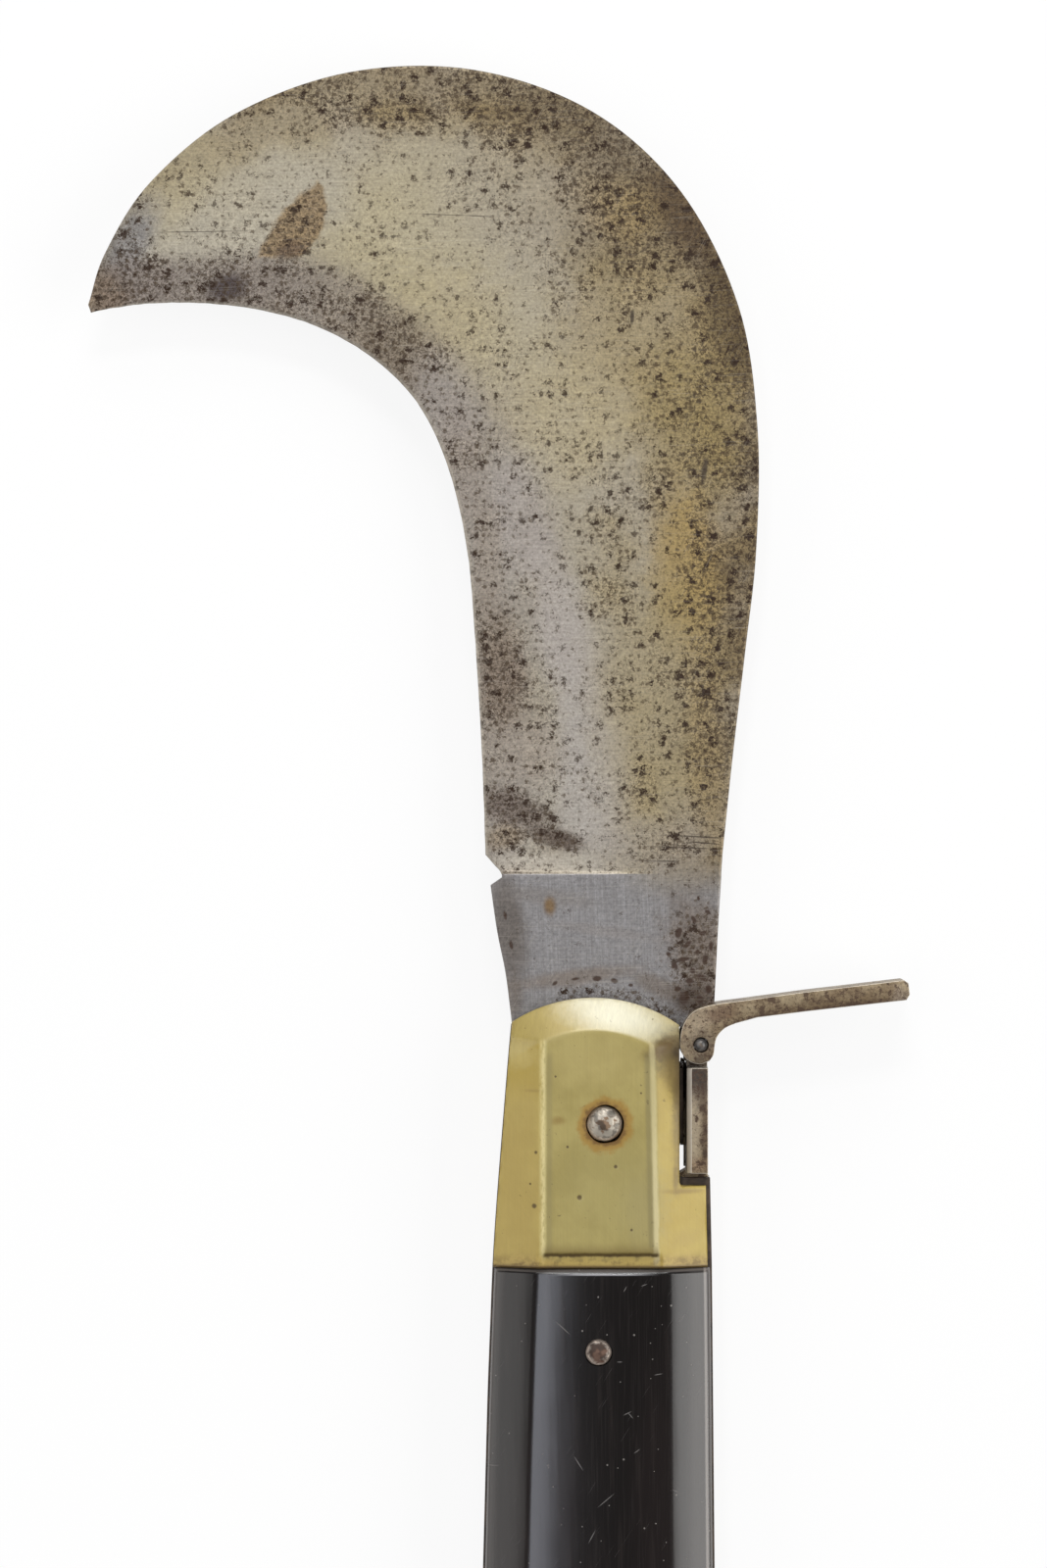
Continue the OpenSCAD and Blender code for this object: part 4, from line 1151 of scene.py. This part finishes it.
def hornFinish(form):
    look = Finish("horn")
    cloudy = look.noise(14, 3, 0.5, (1, 3, 1), 0, 5)
    streaks = look.noise(1.0, 2, 0.5, (0.8, 16, 1), 2, 15)
    look.color = look.blend(cloudy.rise(0.4, 0.62), *form["tones"])
    look.coat(streaks.rise(0.55, 0.75) * 0.4, 42, 36, 34)
    dust = []
    for gap, size, shift in form["dust"]:
        far, own = look.dots(gap, shift)
        found = (far + (streaks - 0.5) * 0.04).rise(size * 1.3 / gap, size * 0.7 / gap)
        dust.append(found * own.rise(0.68, 0.72))
    dust = strongest(dust)
    hairs = strongest(look.patch((x, y), (wide, 0.055), turn, 0.5) for x, y, wide, turn in form["hairs"])
    hairs = hairs.larger(look.scratches(0.06, 4.5, 58, 0.755, 35) * 0.5)
    look.coat(dust * 0.5, 150, 144, 138)
    look.coat(hairs * 0.35, 150, 145, 142)
    # fine lines along it; painted highlights on the rounded edges, lighter towards the outer edges with a
    # line along the right one, and across the end at the brass
    brushed = look.noise(1.0, 3, 0.6, (0.14, 8, 1), 0, 63)
    look.coat(brushed.rise(0.48, 0.72) * 0.3, 48, 44, 42)
    look.coat(look.edges(0.86, 0.66) * 0.5, 122, 116, 112)
    rim = look.attribute("hornRim", 2)
    # painted sheen, lighter towards the outer edges and most on the right, with a painted highlight line
    # along the right edge
    line = abs(rim - form["line"]).rise(0.07, 0.02) * look.x.rise(0, 4)
    broad = rim.rise(0.55, 1).larger(rim.rise(0, 0.5) * look.x.rise(0, 4) * 0.8)
    look.coat(broad * 0.3, 100, 96, 93)
    look.coat(line * 0.6, 150, 143, 138)
    # painted highlight across the rounded end at the brass
    joint = abs(look.y - form["joint"]).rise(0.17, 0.04) * abs(look.x).rise(7.5, 2)
    look.coat(joint * 0.65, 176, 176, 180)
    rough = form["rough"] + cloudy * 0.07 + dust * 0.3 + hairs * 0.3
    height = cloudy * 0.5 + streaks * 0.2
    return look.finish(form, rough, height)


# Spring and lever: mottled worn steel with rust, and a painted highlight on their rounded edges
springLook = {
    "shader": {"Metallic": 0.4}, "rough": 0.42, "relief": 0.05,
    "tones": ((156, 140, 112), (132, 114, 88)),
    # rusty streaks along the lever's arm, and the ring round the pin that the painted edge highlight
    # leaves out
    "arm": (28.5, 14.15), "size": (11.5, 0.8), "turn": 7.2, "pin": (12.25, 9.9), "ring": 1.7,
    "stains": [
        (28, 14, 12, 1.7, 8, (114, 95, 68), 0.8), (26, 13.6, 6, 0.5, 7, (80, 58, 44), 0.8),
        (20.2, 13.1, 1.6, 0.8, 8, (66, 46, 38), 0.85), (32, 14.8, 4.6, 0.5, 7, (84, 62, 48), 0.8),
        (37.6, 15.6, 1.2, 1.4, 0, (150, 137, 122), 0.6),
        (12.2, 13.5, 2.6, 1.8, 40, (156, 141, 118), 0.6),
        (14.8, 13.9, 1.8, 0.9, 10, (104, 78, 58), 0.7), (12.3, 9.9, 1.7, 1.7, 0, (96, 84, 72), 0.6),
        (11.8, 5.6, 2.4, 2.4, 0, (50, 43, 38), 0.95), (12.2, 3.0, 1.6, 1.6, 0, (94, 80, 68), 0.6),
        (12.9, -1.6, 0.7, 3.8, 0, (84, 66, 52), 0.65), (11.6, -5.2, 1.6, 0.9, 0, (138, 112, 86), 0.7),
        (11.3, -0.6, 1.0, 4.0, 0, (170, 156, 132), 0.7), (12.5, 1.9, 0.36, 0.55, 20, (66, 48, 38), 0.8),
        (12.9, -0.9, 0.3, 0.6, 0, (62, 45, 36), 0.8), (12.3, -2.3, 0.24, 0.4, 30, (72, 54, 42), 0.7),
        (12.8, -3.9, 0.34, 0.5, 0, (62, 45, 36), 0.8), (11.7, 0.5, 0.22, 0.4, 0, (84, 66, 52), 0.7),
    ],
}


def springFinish(form):
    look = Finish("springSteel")
    ragged = look.noise(0.9, 4, 0.65, shift=9)
    cloudy = look.noise(3, 3, 0.6, shift=21)
    grain = look.noise(0.35, 2, 0.7, shift=33)
    look.color = look.blend(cloudy.rise(0.36, 0.64), *form["tones"])
    look.stain(form["stains"], ragged, 0.5)
    along = look.noise(1.0, 3, 0.7, (1.6, 0.26, 0.8), 7, 77).rise(0.51, 0.6)
    arm = look.patch(form["arm"], form["size"], form["turn"], 0.5, ragged, 0.5)
    look.coat(along * arm * 0.85, 58, 40, 30)
    crowd = look.darkness(0.34, 0.1)
    dust = look.pitting(0.8, 0.28, 0.59, crowd, 49, "3D")
    specks = look.pitting(1.6, 0.6, 0.59, crowd, 27, "3D")
    look.lighten(0.97 + (grain - 0.5))
    look.coat(dust * 0.55, 88, 70, 54)
    look.coat(specks * 0.85, 70, 51, 39)
    # painted highlight on the rounded edges, left out round the lever's pin
    wearAndHighlight = look.edges(0.985, 0.9) * look.reach(form["pin"]).rise(form["ring"] - 0.2, form["ring"] + 0.2)
    look.coat(wearAndHighlight * 0.75, 222, 214, 200)
    rough = form["rough"] + specks * 0.25 + (grain - 0.5) * 0.2
    height = grain * 0.2 + cloudy * 0.8
    return look.finish(form, rough, height)


# Liners: dark rusty steel, of which little more than the edges shows
linerLook = {
    "shader": {"Metallic": 0.25}, "rough": 0.5, "relief": 0.04, "tones": ((46, 38, 32), (74, 61, 50)),
}


def linerFinish(form):
    look = Finish("linerSteel")
    cloudy = look.noise(2.5, 3, 0.6, shift=13)
    grain = look.noise(0.4, 2, 0.7, shift=39)
    look.color = look.blend(cloudy.rise(0.38, 0.62), *form["tones"])
    look.lighten(1 + (grain - 0.5) * 0.8)
    height = grain * 0.3 + cloudy * 0.7
    rough = form["rough"] + (cloudy - 0.5) * 0.3
    return look.finish(form, rough, height)


# Peened heads: bright where they were struck, with rust in the middle and a dark ring round them
pinLook = {
    "shader": {"Metallic": 0.45}, "rough": 0.36, "relief": 0.12,
    # bright tone, rusty tone and how far out the rust reaches
    "pinSteel": ((180, 172, 158), (120, 92, 66), 0.36),
    "rivetSteel": ((172, 158, 146), (88, 58, 42), 0.68),
    "leverPinSteel": ((128, 126, 124), (110, 98, 86), 0.2),
}


def pinFinish(form, name, places):
    look = Finish(name)
    bright, rust, core = form[name]
    radius = places[0][2]
    ragged = look.noise(0.7, 3, 0.6, shift=radius * 7)
    facets = look.noise(1.3, 1, 0.4, shift=radius * 3)
    far = reduce(Wire.smaller, (look.reach((x, y), (size, size)) for x, y, size in places))
    look.color = look.blend(facets.rise(0.42, 0.58), bright, [part * 0.66 for part in bright])
    cracks = abs(facets - 0.5).rise(0.025, 0.008)
    look.coat(cracks * 0.5, 96, 82, 72)
    middle = (far + (ragged - 0.5) * 1.3).rise(core + 0.1, core - 0.1)
    spots = look.blend(facets.rise(0.46, 0.54), rust, [part * 0.62 for part in rust])
    look.color = look.blend(middle * 0.85, look.color, spots)
    rim = (far + (ragged - 0.5) * 0.35).rise(0.76, 0.86)
    rim = rim * (1 - (far + (ragged - 0.5) * 0.15).rise(0.95, 1.0))
    look.coat(rim * 0.85, *[min(255, part * 1.3) for part in bright])
    look.coat(far.rise(0.985, 1.03) * 0.9, 38, 28, 22)
    rough = form["rough"] + middle * 0.25
    height = ragged * 0.6 + facets * 1.4
    return look.finish(form, rough, height)


bladeSteel = bladeFinish(bladeLook)
brass = brassFinish(brassLook)
horn = hornFinish(hornLook)
springSteel = springFinish(springLook)
linerSteel = linerFinish(linerLook)
rivets = [roundOf(node) for node in ("near_front_rivet", "middle_rivet", "tail_rivet")]
pinSteel = pinFinish(pinLook, "pinSteel", [roundOf("pivot_pin")])
rivetSteel = pinFinish(pinLook, "rivetSteel", rivets)
leverPinSteel = pinFinish(pinLook, "leverPinSteel", [roundOf("lever_pin")])
print("finishes are ready")

place(makeBlade(bladeForm), "blade", "blade", "blade_steel", bladeSteel)
print("blade is made")
for side, word in ((1, "near"), (-1, "far")):
    node = word + "_bolster"
    heads, pins = [roundOf("pivot_pin")], pairOf(node + "_pins")
    cover = makeBolster(bolsterForm, node, word + "Bolster", side, heads, pins)
    place(cover, node, "handle", "brass", brass)
    node = word + "_scale"
    place(makeScale(scaleForm, node, word + "Horn", side, rivets), node, "handle", "horn", horn)
    node = word + "_liner"
    place(makeWorn(wearForm, node, word + "LinerPlate"), node, "handle", "liner_steel", linerSteel)
print("bolsters, horn and liners are made")
place(makeSpring(lipForm), "backspring", "spring", "spring_steel", springSteel)
lever = makeWorn(wearForm, "lock_lever", "raisedLever")
place(lever, "lock_lever", "lever", "spring_steel", springSteel)
tree = pinTree(pinShape)
# Heads at the low and the high end
both, top, bottom = (1.0, 1.0), (0.0, 1.0), (1.0, 0.0)
# Node, name, finish, radius of the shank, height of the dome, heads, depth of the hammering
pinRows = [
    ("pivot_pin", "pivotPin", pinSteel, 2.0, 0.22, both, 0.11),
    ("near_front_rivet", "nearFrontRivet", rivetSteel, 1.25, 0.25, top, 0.07),
    ("far_front_rivet", "farFrontRivet", rivetSteel, 1.25, 0.25, bottom, 0.07),
    ("middle_rivet", "middleRivet", rivetSteel, 1.25, 0.14, both, 0.07),
    ("tail_rivet", "tailRivet", rivetSteel, 1.25, 0.14, both, 0.07),
    ("near_bolster_pins", "nearBolsterPins", pinSteel, 0.9, 0.1, both, 0.0),
    ("far_bolster_pins", "farBolsterPins", pinSteel, 0.9, 0.1, both, 0.0),
    ("lever_pin", "leverPin", leverPinSteel, 0.88, 0.15, both, 0.03),
]
for node, name, metal, shank, dome, heads, hammering in pinRows:
    places = pairOf(node) if node.endswith("pins") else [roundOf(node)]
    pins = makePins(tree, name, node, places, metal, shank, dome, heads, hammering)
    place(pins, node, "spring" if node == "lever_pin" else "handle", "pin_steel", None)
print("spring, lever and pins are made")

scene.view_settings.view_transform = "Standard"
placeCamera()
placeLights()
placeFloor(floorForm)
print("camera, lights and floor are placed")
